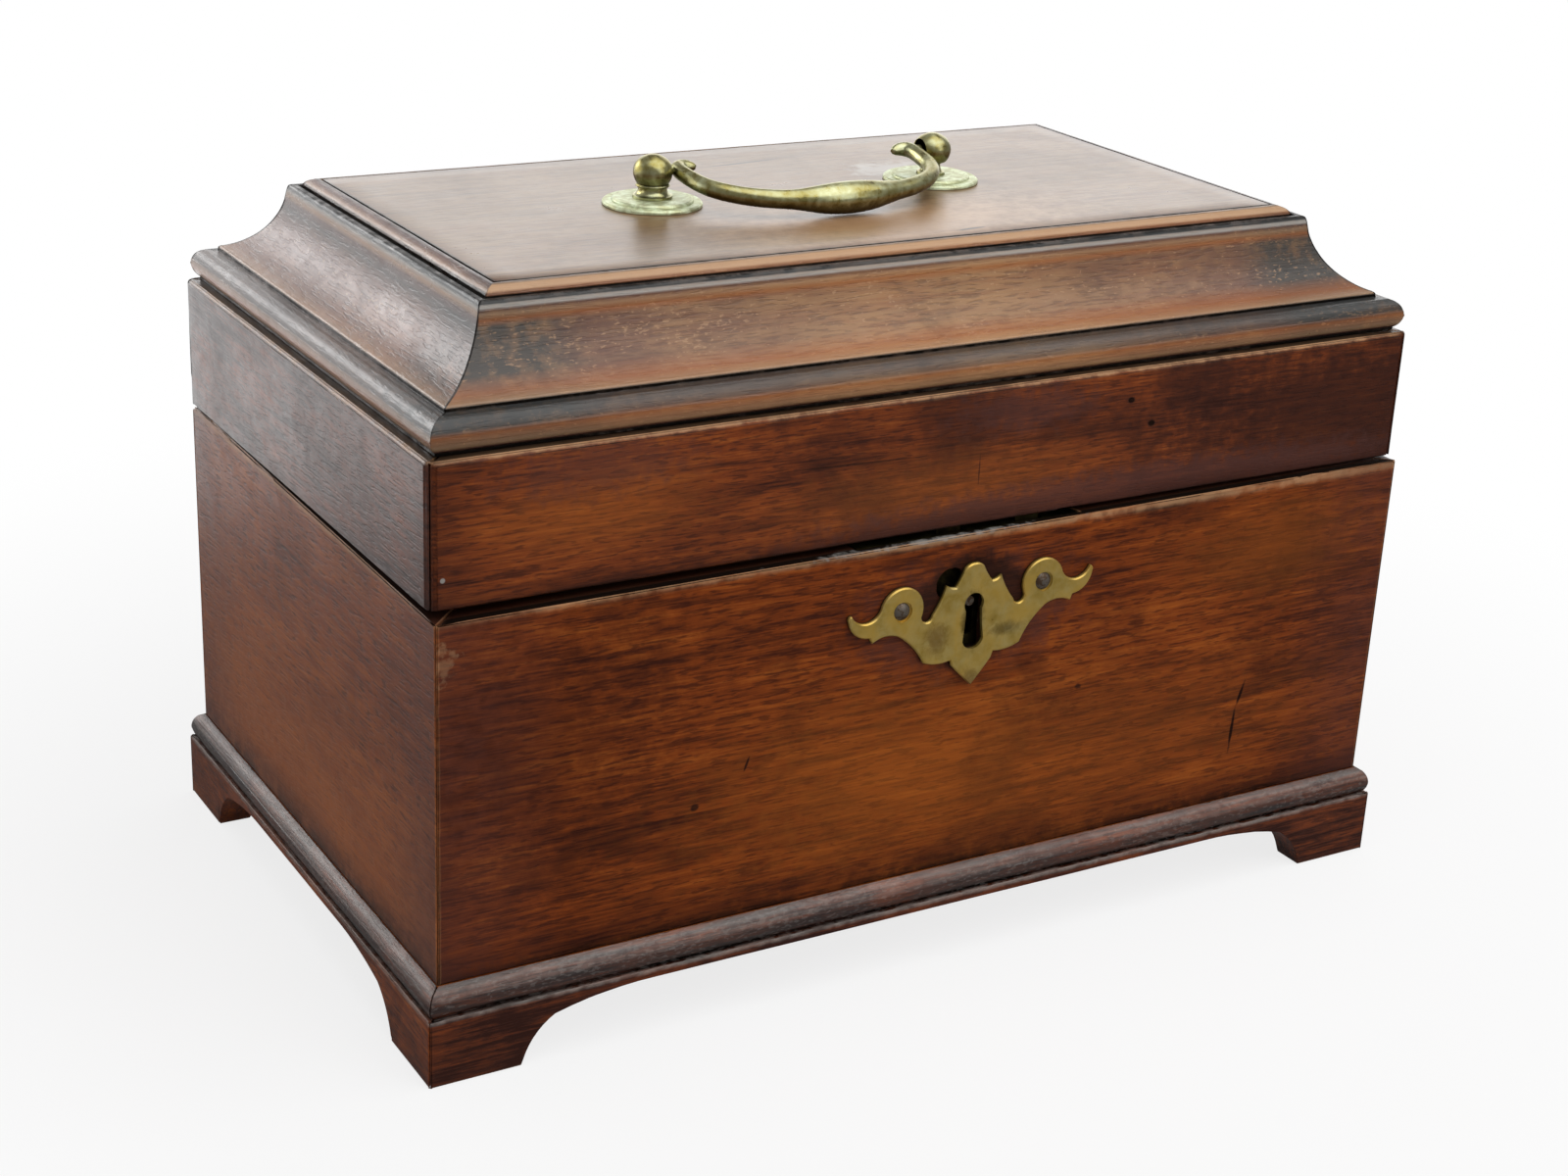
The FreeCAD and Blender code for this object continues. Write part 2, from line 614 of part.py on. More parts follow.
for side, turn in TURNS.items():
    width, depth = "(case_width + 2 * plinth_out)", "(case_depth + 2 * plinth_out)"
    run, reach = run_and_reach(side, width, depth)
    body, board = mitred_board(f"plinth_{side}", run, reach, "plinth_thick", "arris", "0", "plinth_high")
    top, face = size("plinth_high"), -size(reach) / 2
    soften(body, board, "Fillet", "plinth_edge",
           lambda spot: abs(spot.z - top) < 0.01 and spot.y < face + size("arris"))
    bracket_cut(body, run)
    place(body, turn=turn)
    run, reach = run_and_reach(side, "case_width", "case_depth")
    strip = mitred_strip(f"base_moulding_{side}", run, reach, skirt_profile(reach), "0")
    place(strip, turn=turn)

for depth_name, depth_side in (("front", -1), ("back", 1)):
    for width_name, width_side in (("left", -1), ("right", 1)):
        body = new_body(f"foot_block_{depth_name}_{width_name}")
        plan = new_sketch(body, "XY_Plane", "block_low")
        across = "(case_width / 2 + plinth_out - plinth_thick)"
        along = "(case_depth / 2 + plinth_out - plinth_thick)"
        trace(plan, [
            (f"{width_side} * {across}", f"{depth_side} * {along}"),
            (f"{width_side} * ({across} - block_leg)", f"{depth_side} * {along}"),
            (f"{width_side} * {across}", f"{depth_side} * ({along} - block_leg)"),
        ])
        pad(body, plan, "plinth_high - block_low")


# Lid: rim boards, ground board, crown moulding and top panel.
def crown_profile(reach):
    """Crown from the rim upwards: quirk, torus, lip, wide cove, fillet and bead.
    Behind them a ledge carries the top panel."""
    face = f"-({reach}) / 2"
    base = LID_TOP
    ledge = f"{base} + crown_high - panel_thick"
    return [
        (f"{face} + quirk_in", base),
        (f"{face} + crown_deep", base),
        (f"{face} + crown_deep", ledge),
        (f"{face} + crown_wide", ledge),
        (f"{face} + crown_wide", f"{base} + crown_high"),
        (f"{face} + bead_in", f"{base} + bead_high",
         f"{face} + bead_in + (crown_wide - bead_in) * {BEAD_CURVE[0]}",
         f"{base} + bead_high + (crown_high - bead_high) * {BEAD_CURVE[1]}"),
        (f"{face} + fillet_in", f"{base} + fillet_high",
         f"{face} + (fillet_in + bead_in + fillet_dip) / 2",
         f"{base} + (fillet_high + bead_high) / 2 - fillet_dip"),
        (f"{face} + fillet_in - fillet_wide", f"{base} + fillet_high"),
        (f"{face} + cove_in", f"{base} + cove_high"),
        (f"{face} + lip_in + lip_run", f"{base} + lip_high + lip_rise",
         f"{face} + lip_in + (cove_in - lip_in) * {COVE_CURVE[0]}",
         f"{base} + lip_high + (cove_high - lip_high) * {COVE_CURVE[1]}"),
        (f"{face} + lip_in", f"{base} + lip_high - lip_drop",
         f"{face} + lip_in + lip_drop", f"{base} + lip_high + lip_rise / 2"),
        (f"{face} + lip_in + lip_under", f"{base} + torus_high"),
        (f"{face} + torus_in", f"{base} + torus_high"),
        (f"{face} + quirk_in", f"{base} + quirk_high", f"{face} + torus_out", f"{base} + torus_mid"),
    ]


def link_bed(body):
    """Bed for the link plate in the lower edge of the lid's front board, with its screw holes."""
    near = f"-case_depth / 2 - set_back / 2 + lock_front + link_front"
    middle = "lock_off"
    bed = new_sketch(body, "XY_Plane", f"{LID_LOW} + lock_plate")
    trace(bed, box_corners(f"{middle} - lock_wide / 2 - slack", f"{near} - slack",
                           f"{middle} + lock_wide / 2 + slack", f"{near} + link_deep + slack"))
    cut(body, bed, f"lock_plate + {MARGIN}")
    pilots = new_sketch(body, "XY_Plane", LID_LOW)
    for spot in LINK_SCREWS:
        ring(pilots, f"{middle} + {spot}", f"{near} + link_deep / 2", "screw_shank")
    cut(body, pilots, "screw_long", reverse=True)


for side, turn in TURNS.items():
    run, reach = run_and_reach(side, LID_WIDTH, LID_DEPTH)
    body, board = mitred_board(f"lid_{side}_board", run, reach, "wall", "lid_arris", LID_LOW, LID_TOP)
    top, face = size(LID_TOP), -size(reach) / 2
    soften(body, board, "Fillet", "lid_round",
           lambda spot: abs(spot.z - top) < 0.01 and spot.y < face + size("lid_arris"))
    if side == "front":
        link_bed(body)
    if side in BACK_EDGE:
        stop_bevel(body, side, LID_DEPTH, LID_LOW, "lid_bevel")
    if side == "back":
        hinge_relief(body, True, f"(hinge_in - {LID_DEPTH} / 2)")
    place_in_lid(body, turn)
    strip = mitred_strip(f"lid_moulding_{side}", run, reach, crown_profile(reach), "crown_deep")
    place_in_lid(strip, turn)


def drilled_board(label, half_run, half_reach, low, thick):
    """Flat board of the lid with two holes for the shanks of the handle posts."""
    body = new_body(label)
    plan = new_sketch(body, "XY_Plane", low)
    trace(plan, box_corners(f"-({half_run})", f"-({half_reach})", half_run, half_reach))
    pad(body, plan, thick)
    holes = new_sketch(body, "XY_Plane", low)
    for spot in POSTS.values():
        ring(holes, spot, "post_back", "shank_rad + slack")
    cut_through(body, holes)
    place_in_lid(body)


drilled_board("lid_ground_board", f"{LID_WIDTH} / 2 - wall", f"{LID_DEPTH} / 2 - wall",
              f"{LID_TOP} - ground_thick", "ground_thick")
drilled_board("lid_top_panel", f"{LID_WIDTH} / 2 - crown_wide - panel_joint",
              f"{LID_DEPTH} / 2 - crown_wide - panel_joint",
              f"{PANEL_TOP} - panel_thick", "panel_thick")


# Handle: roses, ball posts, nuts and the bail.
def rose(label):
    body = new_body(label)
    section = new_sketch(body, "XZ_Plane")
    trace(section, [
        ("shank_rad + slack", "0"),
        ("rose_rad", "0"),
        ("rose_rad", "rose_high * 0.3"),
        ("rose_rad * 0.93", "rose_high * 0.55", "rose_rad * 0.98", "rose_high * 0.5"),
        ("rose_rad * 0.82", "rose_high * 0.6"),
        ("rose_rad * 0.77", "rose_high", "rose_rad * 0.80", "rose_high * 0.9"),
        ("shank_rad + slack", "rose_high"),
    ])
    revolve(body, section)
    return body


# Top of a post's ball, a low cap of a larger sphere.
CAP_WIDE = "(ball_rad * 0.6)"
CAP_HIGH = "(ball_top * 0.2)"
CAP_RAD = f"(({CAP_WIDE} ^ 2 + {CAP_HIGH} ^ 2) / (2 * {CAP_HIGH}))"


def post(label, inner_side, foot, neck):
    """Turned post: flared foot, neck, ring and ball. The ball is flat on its inner side,
    where a hollow and a bore take the bail's pin."""
    body = new_body(label)
    section = new_sketch(body, "XZ_Plane")
    centre = "pivot_high"
    ring_high = f"({centre} - ball_rad * {RING_SHARE})"
    shank_low = "ground_thick + crown_high + nut_high + shank_spare"
    trace(section, [
        ("0", f"-({shank_low})"),
        ("shank_rad", f"-({shank_low})"),
        ("shank_rad", "rose_high"),
        (foot, "rose_high"),
        (foot, "rose_high + post_rim"),
        (neck, f"{ring_high} - post_ring",
         f"({foot} + {neck} - post_ring) / 2", "rose_high + 2 * post_ring"),
        (f"ball_rad * {math.sin(math.acos(RING_SHARE))}", ring_high,
         f"{neck} + post_ring", f"{ring_high} - post_ring * 0.7"),
        ("ball_rad", centre, f"ball_rad * {math.sqrt(1 - RING_SHARE ** 2 / 4)}",
         f"{centre} - ball_rad * {RING_SHARE / 2}"),
        (CAP_WIDE, f"{centre} + ball_top - {CAP_HIGH}", "ball_rad * 0.88", f"{centre} + ball_top * 0.475"),
        ("0", f"{centre} + ball_top", f"{CAP_WIDE} / 2",
         f"{centre} + ball_top - {CAP_RAD} + sqrt({CAP_RAD} ^ 2 - {CAP_WIDE} ^ 2 / 4)"),
    ])
    revolve(body, section)
    flat = new_sketch(body, "YZ_Plane", f"{inner_side} * ball_flat")
    trace(flat, box_corners("-2 * ball_rad", f"{centre} - ball_rad * 0.6", "2 * ball_rad",
                            f"{centre} + 2 * ball_rad"))
    cut(body, flat, "ball_rad", reverse=inner_side > 0)
    hollow = new_sketch(body, "YZ_Plane", f"{inner_side} * ball_flat")
    ring(hollow, "0", centre, "socket_rad")
    cut(body, hollow, "socket_deep", reverse=inner_side < 0)
    bore = new_sketch(body, "YZ_Plane", f"{inner_side} * ball_flat")
    ring(bore, "0", centre, "bail_pin + run_fit")
    cut(body, bore, "ball_flat + ball_rad / 2", reverse=inner_side < 0)
    return body


for name, across in POSTS.items():
    inner_side = 1 if name == "left" else -1
    along = "set_back / 2 + post_back"
    turned = post(f"handle_post_{name}", inner_side, f"{name}_foot", f"{name}_neck")
    place(rose(f"handle_rose_{name}"), across, along, PANEL_TOP)
    place(turned, across, along, PANEL_TOP)


def group(label, pieces):
    """Several separate like pieces in one named group."""
    bundle = doc.addObject("Part::Compound", label)
    bundle.Label = label
    bundle.Links = pieces
    return bundle


def copies(master, label, spots):
    """Group of linked copies of one piece, each at a place of its own."""
    links = []
    for index, (x, y, z, turn, axis) in enumerate(spots, 1):
        link = doc.addObject("App::Link", f"{label}_{index}")
        link.LinkedObject = master
        link.LinkTransform = False
        place(link, x, y, z, turn, axis)
        links.append(link)
    return group(label, links)


nut = new_body("nut")
plan = new_sketch(nut, "XY_Plane", "-nut_high")
trace(plan, box_corners("-nut_wide / 2", "-nut_wide / 2", "nut_wide / 2", "nut_wide / 2"))
ring(plan, "0", "0", "shank_rad + slack / 2")
pad(nut, plan, "nut_high")
copies(nut, "handle_nuts", [
    (spot, "set_back / 2 + post_back", f"{LID_TOP} - ground_thick", NUT_TURN, (0, 0, 1))
    for spot in POSTS.values()])

# The bail's centre line as shares of its half width and drop, with its thickness as a share
# of the grip: from the tongue beside the pin, out over the swan's neck and down to the grip.
NECK = [
    (0.840, -0.008, 0.14), (0.865, -0.028, 0.30), (0.925, -0.048, 0.42), (0.978, -0.022, 0.48),
    (1.000, 0.060, 0.50), (0.997, 0.195, 0.51), (0.980, 0.352, 0.52), (0.943, 0.500, 0.53),
    (0.868, 0.642, 0.54), (0.750, 0.773, 0.55), (0.605, 0.872, 0.57), (0.430, 0.942, 0.62),
    (0.225, 0.987, 0.87), (0.075, 0.999, 0.98),
]


def bail():
    body = new_body("bail_handle")
    line = [(side * across, drop, thick) for side, half in ((-1, NECK), (1, NECK[::-1]))
            for across, drop, thick in half]
    wide, drop_long = size("bail_wide"), size("bail_drop")
    spots = [FreeCAD.Vector(across * wide, -drop * drop_long, 0) for across, drop, _ in line]
    sections = []
    for index, (across, drop, thick) in enumerate(line):
        ahead = spots[min(index + 1, len(spots) - 1)]
        behind = spots[max(index - 1, 0)]
        section = new_sketch(body, "XY_Plane")
        frame = FreeCAD.Rotation(FreeCAD.Vector(0, 0, 1), FreeCAD.Vector(), ahead - behind, "ZXY")
        section.AttachmentOffset = FreeCAD.Placement(spots[index], frame)
        section.setExpression("AttachmentOffset.Base.x", linked(f"{across} * bail_wide"))
        section.setExpression("AttachmentOffset.Base.y", linked(f"-({drop}) * bail_drop"))
        section.setExpression("AttachmentOffset.Base.z", None)
        ring(section, "0", "0", f"{thick} * grip_rad")
        sections.append(section)
    loft = body.newObject("PartDesign::AdditiveLoft", "Neck")
    loft.Profile = sections[0]
    loft.Sections = sections[1:]
    for side in (-1, 1):
        pin = new_sketch(body, "YZ_Plane", f"{side} * bail_wide * {PIN_SHARE}")
        ring(pin, "0", "0", "bail_pin")
        pad(body, pin, f"(left_post + right_post) / 2 - bail_wide * {PIN_SHARE} - pin_short",
            reverse=side < 0)
    sink = math.asin((size("pivot_high") - size("grip_rad") - size("rest_gap")) / drop_long)
    place(body, "(right_post - left_post) / 2", "set_back / 2 + post_back",
          f"{PANEL_TOP} + pivot_high", math.degrees(sink), (1, 0, 0))


bail()

# Escutcheon: half outline as shares of the half width and of the drop below or the rise above
# the key centre, from the tip at the foot round the wing to the top.
WING = [
    (0.160, -0.715, 0.093, -0.840), (0.176, -0.640), (0.395, -0.600, 0.275, -0.652),
    (0.605, -0.205, 0.480, -0.385), (0.810, -0.220, 0.710, -0.172), (0.832, -0.150),
    (0.995, 0.180, 0.945, -0.075), (0.975, 0.330, 0.997, 0.275), (0.740, 0.320, 0.862, 0.070),
    (0.420, -0.010, 0.575, 0.770), (0.330, -0.045, 0.382, -0.108), (0.222, 0.590, 0.270, 0.215),
    (0.148, 0.495, 0.184, 0.515), (0.078, 0.900, 0.107, 0.700), (0.0, 1.02, 0.045, 0.995),
]


def escutcheon_outline(inset):
    """Corners of the whole plate, from the tip at its foot round the right wing, the top and
    the left wing. An inset of 1 draws every point in by the width of the bevel."""
    shares = [(0.0, -1.0)]
    arcs = []
    for corner in WING:
        if corner[2:]:
            arcs.append(len(shares))
            shares.append(corner[2:])
        shares.append(corner[:2])
    top = len(shares) - 1
    arcs += [2 * top - index for index in arcs]
    shares += [(-across, up) for across, up in shares[-2:0:-1]]
    wide, rise, drop = size("plate_half"), size("plate_rise"), size("plate_drop")
    spots = [FreeCAD.Vector(across * wide, up * (rise if up > 0 else drop), 0) for across, up in shares]
    points = []
    for index, (across, up) in enumerate(shares):
        along = (spots[(index + 1) % len(spots)] - spots[index - 1]).normalize()
        height = "plate_rise" if up > 0 else "plate_drop"
        points.append((f"{across} * plate_half - {inset} * {along.y} * plate_bevel",
                       f"{up} * {height} + {inset} * {along.x} * plate_bevel"))
    corners = []
    for index, point in enumerate(points):
        if index not in arcs:
            before = (index - 1) % len(points)
            corners.append(point + (points[before] if before in arcs else ()))
    return corners


escutcheon = new_body("escutcheon")
outline = new_sketch(escutcheon, "XZ_Plane")
trace(outline, escutcheon_outline(0))
pad(escutcheon, outline, "plate_thick - plate_bevel")
rims = []
for inset, level in ((0, "plate_thick - plate_bevel"), (1, "plate_thick")):
    rim = new_sketch(escutcheon, "XZ_Plane", level)
    trace(rim, escutcheon_outline(inset))
    rims.append(rim)
bevel = escutcheon.newObject("PartDesign::AdditiveLoft", "Bevel")
bevel.Profile = rims[0]
bevel.Sections = rims[1:]
bevel.Ruled = True
keyhole = new_sketch(escutcheon, "XZ_Plane")
waist = "-key_drop * 0.35"
shoulder = "-sqrt(key_rad ^ 2 - key_waist ^ 2)"
trace(keyhole, [
    ("-key_waist", shoulder, "0", "key_rad"),
    ("-key_flare", "-key_drop * 0.8", "-key_waist * 1.06", waist),
    ("key_flare", "-key_drop * 0.8", "0", "-key_drop"),
    ("key_waist", shoulder, "key_waist * 1.06", waist),
])
cut_through(escutcheon, keyhole)
pin_holes = new_sketch(escutcheon, "XZ_Plane")
for side in (-1, 1):
    ring(pin_holes, f"{side} * pin_off", "pin_rise", "pin_shank")
cut_through(escutcheon, pin_holes)
pin_beds = new_sketch(escutcheon, "XZ_Plane", "plate_thick")
for side in (-1, 1):
    ring(pin_beds, f"{side} * pin_off", "pin_rise", "pin_bed")
cut(escutcheon, pin_beds, "pin_sink")
place(escutcheon, "lock_off", "-case_depth / 2", "key_high", -size("plate_tilt"), (0, 1, 0))

HEAD_LOW = "(plate_thick - pin_sink)"
DOME_RAD = "((pin_head ^ 2 + pin_dome ^ 2) / (2 * pin_dome))"
pin = new_body("pin")
section = new_sketch(pin, "XZ_Plane")
trace(section, [
    ("0", "-pin_long"),
    ("pin_shank", "-pin_long"),
    ("pin_shank", HEAD_LOW),
    ("pin_head", HEAD_LOW),
    ("0", f"{HEAD_LOW} + pin_dome", "pin_head / 2",
     f"{HEAD_LOW} + pin_dome - {DOME_RAD} + sqrt({DOME_RAD} ^ 2 - pin_head ^ 2 / 4)"),
])
revolve(pin, section)
tilt = math.radians(size("plate_tilt"))
copies(pin, "escutcheon_pins", [
    (f"lock_off + {side} * pin_off * {math.cos(tilt)} - pin_rise * {math.sin(tilt)}",
     "-case_depth / 2",
     f"key_high + pin_rise * {math.cos(tilt)} + {side} * pin_off * {math.sin(tilt)}",
     90, (1, 0, 0)) for side in (-1, 1)])


# Lock, drawn with y measured inwards from the face of the front board.
def lock_sketch(body, inwards):
    return new_sketch(body, "XZ_Plane", f"-({inwards})")


PLATE_FRONT = "(wall - lock_plate)"
SELVEDGE_LOW = "(lock_top - lock_plate)"
lock_case = new_body("lock_case")
shell = lock_sketch(lock_case, PLATE_FRONT)
trace(shell, box_corners("-lock_wide / 2", "lock_low", "lock_wide / 2", SELVEDGE_LOW))
pad(lock_case, shell, f"{PLATE_FRONT} - lock_front")
room = lock_sketch(lock_case, PLATE_FRONT)
trace(room, box_corners("-lock_wide / 2 + lock_sheet", "lock_low + lock_sheet",
                        "lock_wide / 2 - lock_sheet", f"{SELVEDGE_LOW} + {MARGIN}"))
cut(lock_case, room, f"{PLATE_FRONT} - lock_front - lock_sheet", reverse=True)
key_slot = lock_sketch(lock_case, PLATE_FRONT)
trace(key_slot, [
    ("-key_waist", "key_high", "0", "key_high + key_waist"),
    ("-key_waist", "key_high - key_drop * 0.8"),
    ("key_waist", "key_high - key_drop * 0.8"),
    ("key_waist", "key_high"),
])
cut_through(lock_case, key_slot)
place_in_lock(lock_case)

lock_plate = new_body("lock_plate")
section = new_sketch(lock_plate, "YZ_Plane")
trace(section, [
    (PLATE_FRONT, "lock_low"),
    ("wall", "lock_low"),
    ("wall", "lock_top"),
    ("lock_front", "lock_top"),
    ("lock_front", SELVEDGE_LOW),
    (PLATE_FRONT, SELVEDGE_LOW),
])
pad(lock_plate, section, "lock_wide + 2 * lock_ear", symmetric=True)
HOOK_FRONT = "(bolt_front + (bolt_thick - hook_thick) / 2)"
HOOKS = ("hook_left", "(hook_left + hook_step)")
slots = new_sketch(lock_plate, "XY_Plane", "lock_top")
for left in HOOKS:
    trace(slots, box_corners(f"{left} - hook_play", f"{HOOK_FRONT} - hook_play - swing_play",
                             f"{left} + hook_wide + hook_play", f"{HOOK_FRONT} + hook_thick + hook_play"))
cut(lock_plate, slots, "lock_plate")
screw_holes = lock_sketch(lock_plate, "wall")
for across, up in LOCK_SCREWS:
    ring(screw_holes, str(across), str(up), "screw_shank")
countersink(lock_plate, screw_holes, along=True)
place_in_lock(lock_plate)

drill = new_body("lock_drill_pin")
round_end = lock_sketch(drill, PLATE_FRONT)
ring(round_end, "0", "key_high", "drill_rad")
pad(drill, round_end, f"{PLATE_FRONT} - drill_front")
place_in_lock(drill)

spring = new_body("lock_spring")
strip = lock_sketch(spring, "bolt_front + bolt_thick")
spring_foot, spring_end = "-lock_wide / 2 + lock_sheet", "-spring_tip"
bend = f"({spring_foot} + {spring_end}) / 2"
trace(strip, [
    (spring_foot, "bolt_low - spring_rise"),
    (spring_end, "bolt_low - spring_thick - rest_gap", bend, "bolt_low - spring_rise * 0.36"),
    (spring_end, "bolt_low - rest_gap"),
    (spring_foot, "bolt_low - spring_rise + spring_thick",
     f"{bend} - spring_thick / 2", "bolt_low - spring_rise * 0.36 + spring_thick"),
])
pad(spring, strip, "bolt_thick")
place_in_lock(spring)

bolt = new_body("lock_bolt")
face = lock_sketch(bolt, "bolt_front + bolt_thick")
BAR_TOP = "bolt_low + bolt_bar"
first_tip = "hook_left - bolt_rest"
second_tip = "hook_left + hook_step - bolt_rest"
corners = [("hook_left - bolt_tail", "bolt_low"), ("-bolt_notch", "bolt_low"),
           ("bolt_notch", "bolt_low", "0", "bolt_low + bolt_arch"), ("bolt_end", "bolt_low"),
           ("bolt_end", BAR_TOP)]
for tip in (second_tip, first_tip):
    stub_right = f"{tip} - finger_tip"
    corners += [
        (stub_right, BAR_TOP),
        (stub_right, "finger_low"),
        (tip, "finger_low"),
        (tip, "finger_top"),
        (f"{stub_right} - stub_wide", "finger_top"),
        (f"{stub_right} - stub_wide", BAR_TOP),
    ]
corners.append(("hook_left - bolt_tail", BAR_TOP))
trace(face, corners)
pad(bolt, face, "bolt_thick")
place_in_lock(bolt)

link = new_body("lock_link_plate")
plan = new_sketch(link, "XY_Plane", LID_LOW)
trace(plan, box_corners("-lock_wide / 2", f"lock_front + link_front",
                        "lock_wide / 2", f"lock_front + link_front + link_deep"))
pad(link, plan, "lock_plate")
hooks = lock_sketch(link, f"{HOOK_FRONT} + hook_thick")
for left in HOOKS:
    trace(hooks, [
        (left, "hook_low"),
        (f"{left} + hook_wide", "hook_low"),
        (f"{left} + hook_wide", f"{LID_LOW} + lock_plate / 2"),
        (left, f"{LID_LOW} + lock_plate / 2"),
        (left, "finger_top + notch_play"),
        (f"{left} + hook_notch", "finger_top + notch_play"),
        (f"{left} + hook_notch", "finger_low - notch_play"),
        (left, "finger_low - notch_play"),
    ])
pad(link, hooks, "hook_thick")
screw_holes = new_sketch(link, "XY_Plane", LID_LOW)
for across in LINK_SCREWS:
    ring(screw_holes, str(across), f"lock_front + link_front + link_deep / 2", "screw_shank")
countersink(link, screw_holes, along=True)
place_in_lock(link)


# Butt hinges: a leaf on the case with two knuckles, a leaf on the lid with the middle one.
def hinge_leaf(label, on_lid):
    body = new_body(label)
    third, far, inner = "hinge_long / 6", "hinge_long / 2", "-leaf_wide"
    clear = "-knuckle - turn_gap"
    edge = "turn_gap / 2"
    level = "leaf_gap" if on_lid else "-leaf_gap - leaf_thick"
    plan = new_sketch(body, "XY_Plane", level)
    if on_lid:
        trace(plan, [
            (f"-{far}", inner), (far, inner), (far, clear), (f"{third} - {edge}", clear),
            (f"{third} - {edge}", "0"), (f"-{third} + {edge}", "0"),
            (f"-{third} + {edge}", clear), (f"-{far}", clear),
        ])
        spans = [(f"-{third} + {edge}", f"2 * ({third} - {edge})")]
    else:
        trace(plan, [
            (f"-{far}", inner), (far, inner), (far, "0"), (f"{third} + {edge}", "0"),
            (f"{third} + {edge}", clear), (f"-{third} - {edge}", clear),
            (f"-{third} - {edge}", "0"), (f"-{far}", "0"),
        ])
        spans = [(f"-{far}", f"2 * {third} - {edge}"), (f"{third} + {edge}", f"2 * {third} - {edge}")]
    pad(body, plan, "leaf_thick")
    for start, long in spans:
        barrel = new_sketch(body, "YZ_Plane", start)
        ring(barrel, "0", "0", "knuckle")
        pad(body, barrel, long)
    bore = new_sketch(body, "YZ_Plane")
    ring(bore, "0", "0", "hinge_pin + run_fit" if on_lid else "hinge_pin")
    cut_through(body, bore)
    holes = new_sketch(body, "XY_Plane", "leaf_gap" if on_lid else "-leaf_gap")
    for screw in (-1, 1):
        ring(holes, f"{screw} * {HINGE_SCREW_ALONG}", f"-{HINGE_SCREW_IN}", "screw_shank")
    countersink(body, holes, along=on_lid)
    return body


AXIS_BACK = "(case_depth / 2 - hinge_in)"
for name, side in (("left", -1), ("right", 1)):
    for group_name, on_lid in (("case", False), ("lid", True)):
        leaf = hinge_leaf(f"hinge_leaf_{group_name}_{name}", on_lid)
        place(leaf, f"{side} * hinge_off", AXIS_BACK, AXIS_HIGH)
    rod = doc.addObject("Part::Cylinder", f"hinge_pin_{name}")
    rod.Label = f"hinge_pin_{name}"
    rod.setExpression("Radius", linked("hinge_pin"))
    rod.setExpression("Height", linked("hinge_long"))
    place(rod, f"{side} * hinge_off - hinge_long / 2", AXIS_BACK, AXIS_HIGH, 90, (0, 1, 0))

# Screws: one countersunk screw, copied to every place that has one.
screw = new_body("screw")
section = new_sketch(screw, "XZ_Plane")
trace(section, [
    ("0", "-screw_long"),
    ("screw_shank", "-screw_long + screw_shank"),
    ("screw_shank", "screw_shank - screw_head"),
    ("screw_head", "0"),
    ("0", "0"),
])
revolve(screw, section)
slot = new_sketch(screw, "XY_Plane")
trace(slot, box_corners("-screw_head - 1", "-slot_wide / 2", "screw_head + 1", "slot_wide / 2"))
cut(screw, slot, "slot_wide")

for group_name, sign, turn in (("case", "-", 0), ("lid", "+", 180)):
    copies(screw, f"hinge_screws_{group_name}", [
        (f"{side} * hinge_off + {place_along} * {HINGE_SCREW_ALONG}",
         f"{AXIS_BACK} - {HINGE_SCREW_IN}", f"{AXIS_HIGH} {sign} leaf_gap", turn, (1, 0, 0))
        for side in (-1, 1) for place_along in (-1, 1)])
copies(screw, "link_plate_screws", [
    (f"lock_off + {across}", f"-case_depth / 2 + lock_front + link_front + link_deep / 2",
     LID_LOW, 180, (1, 0, 0)) for across in LINK_SCREWS])
copies(screw, "lock_screws", [
    (f"lock_off + {across}", "-case_depth / 2 + wall", str(up), -90, (1, 0, 0))
    for across, up in LOCK_SCREWS])

doc.recompute()
MASTERS = ("nut", "pin", "screw")
FINISHED = ("PartDesign::Body", "Part::Box", "Part::Cylinder", "Part::Compound")
for item in doc.Objects:
    if "Invalid" in item.State or "Error" in item.State:
        raise RuntimeError(f"{item.Label} ({item.TypeId}) did not compute: {item.State}")
for item in doc.Objects:
    if item.TypeId not in FINISHED or item.Label in MASTERS:
        continue
    if item.Shape.isNull() or not item.Shape.isValid():
        raise RuntimeError(f"{item.Label} has no valid shape")
    item.Shape.exportStep(f"parts/{item.Label}.step")
    print(f"{item.Label}: {item.Shape.Volume:.0f} mm3, {len(item.Shape.Solids)} solid(s)")
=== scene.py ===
"""Tea caddy in worn mahogany with aged brass fittings, on a plain studio stage."""

import json
import math

import bpy
from mathutils import Matrix, Vector


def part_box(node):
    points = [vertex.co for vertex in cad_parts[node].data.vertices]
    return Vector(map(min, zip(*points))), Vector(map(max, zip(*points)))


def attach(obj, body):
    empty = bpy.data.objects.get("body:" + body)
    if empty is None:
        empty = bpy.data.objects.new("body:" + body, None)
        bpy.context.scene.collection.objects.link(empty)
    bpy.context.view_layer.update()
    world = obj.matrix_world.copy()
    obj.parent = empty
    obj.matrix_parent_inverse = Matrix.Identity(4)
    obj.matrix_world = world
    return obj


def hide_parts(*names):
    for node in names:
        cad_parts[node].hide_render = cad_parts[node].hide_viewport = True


bl_info = {
    "name": "Tea caddy",
    "version": (1, 0, 0),
    "blender": (4, 5, 0),
    "location": "View3D > Sidebar > Tea caddy",
    "description": "Dresses the packed tea caddy and sets it on a plain stage",
    "category": "Add Mesh",
}

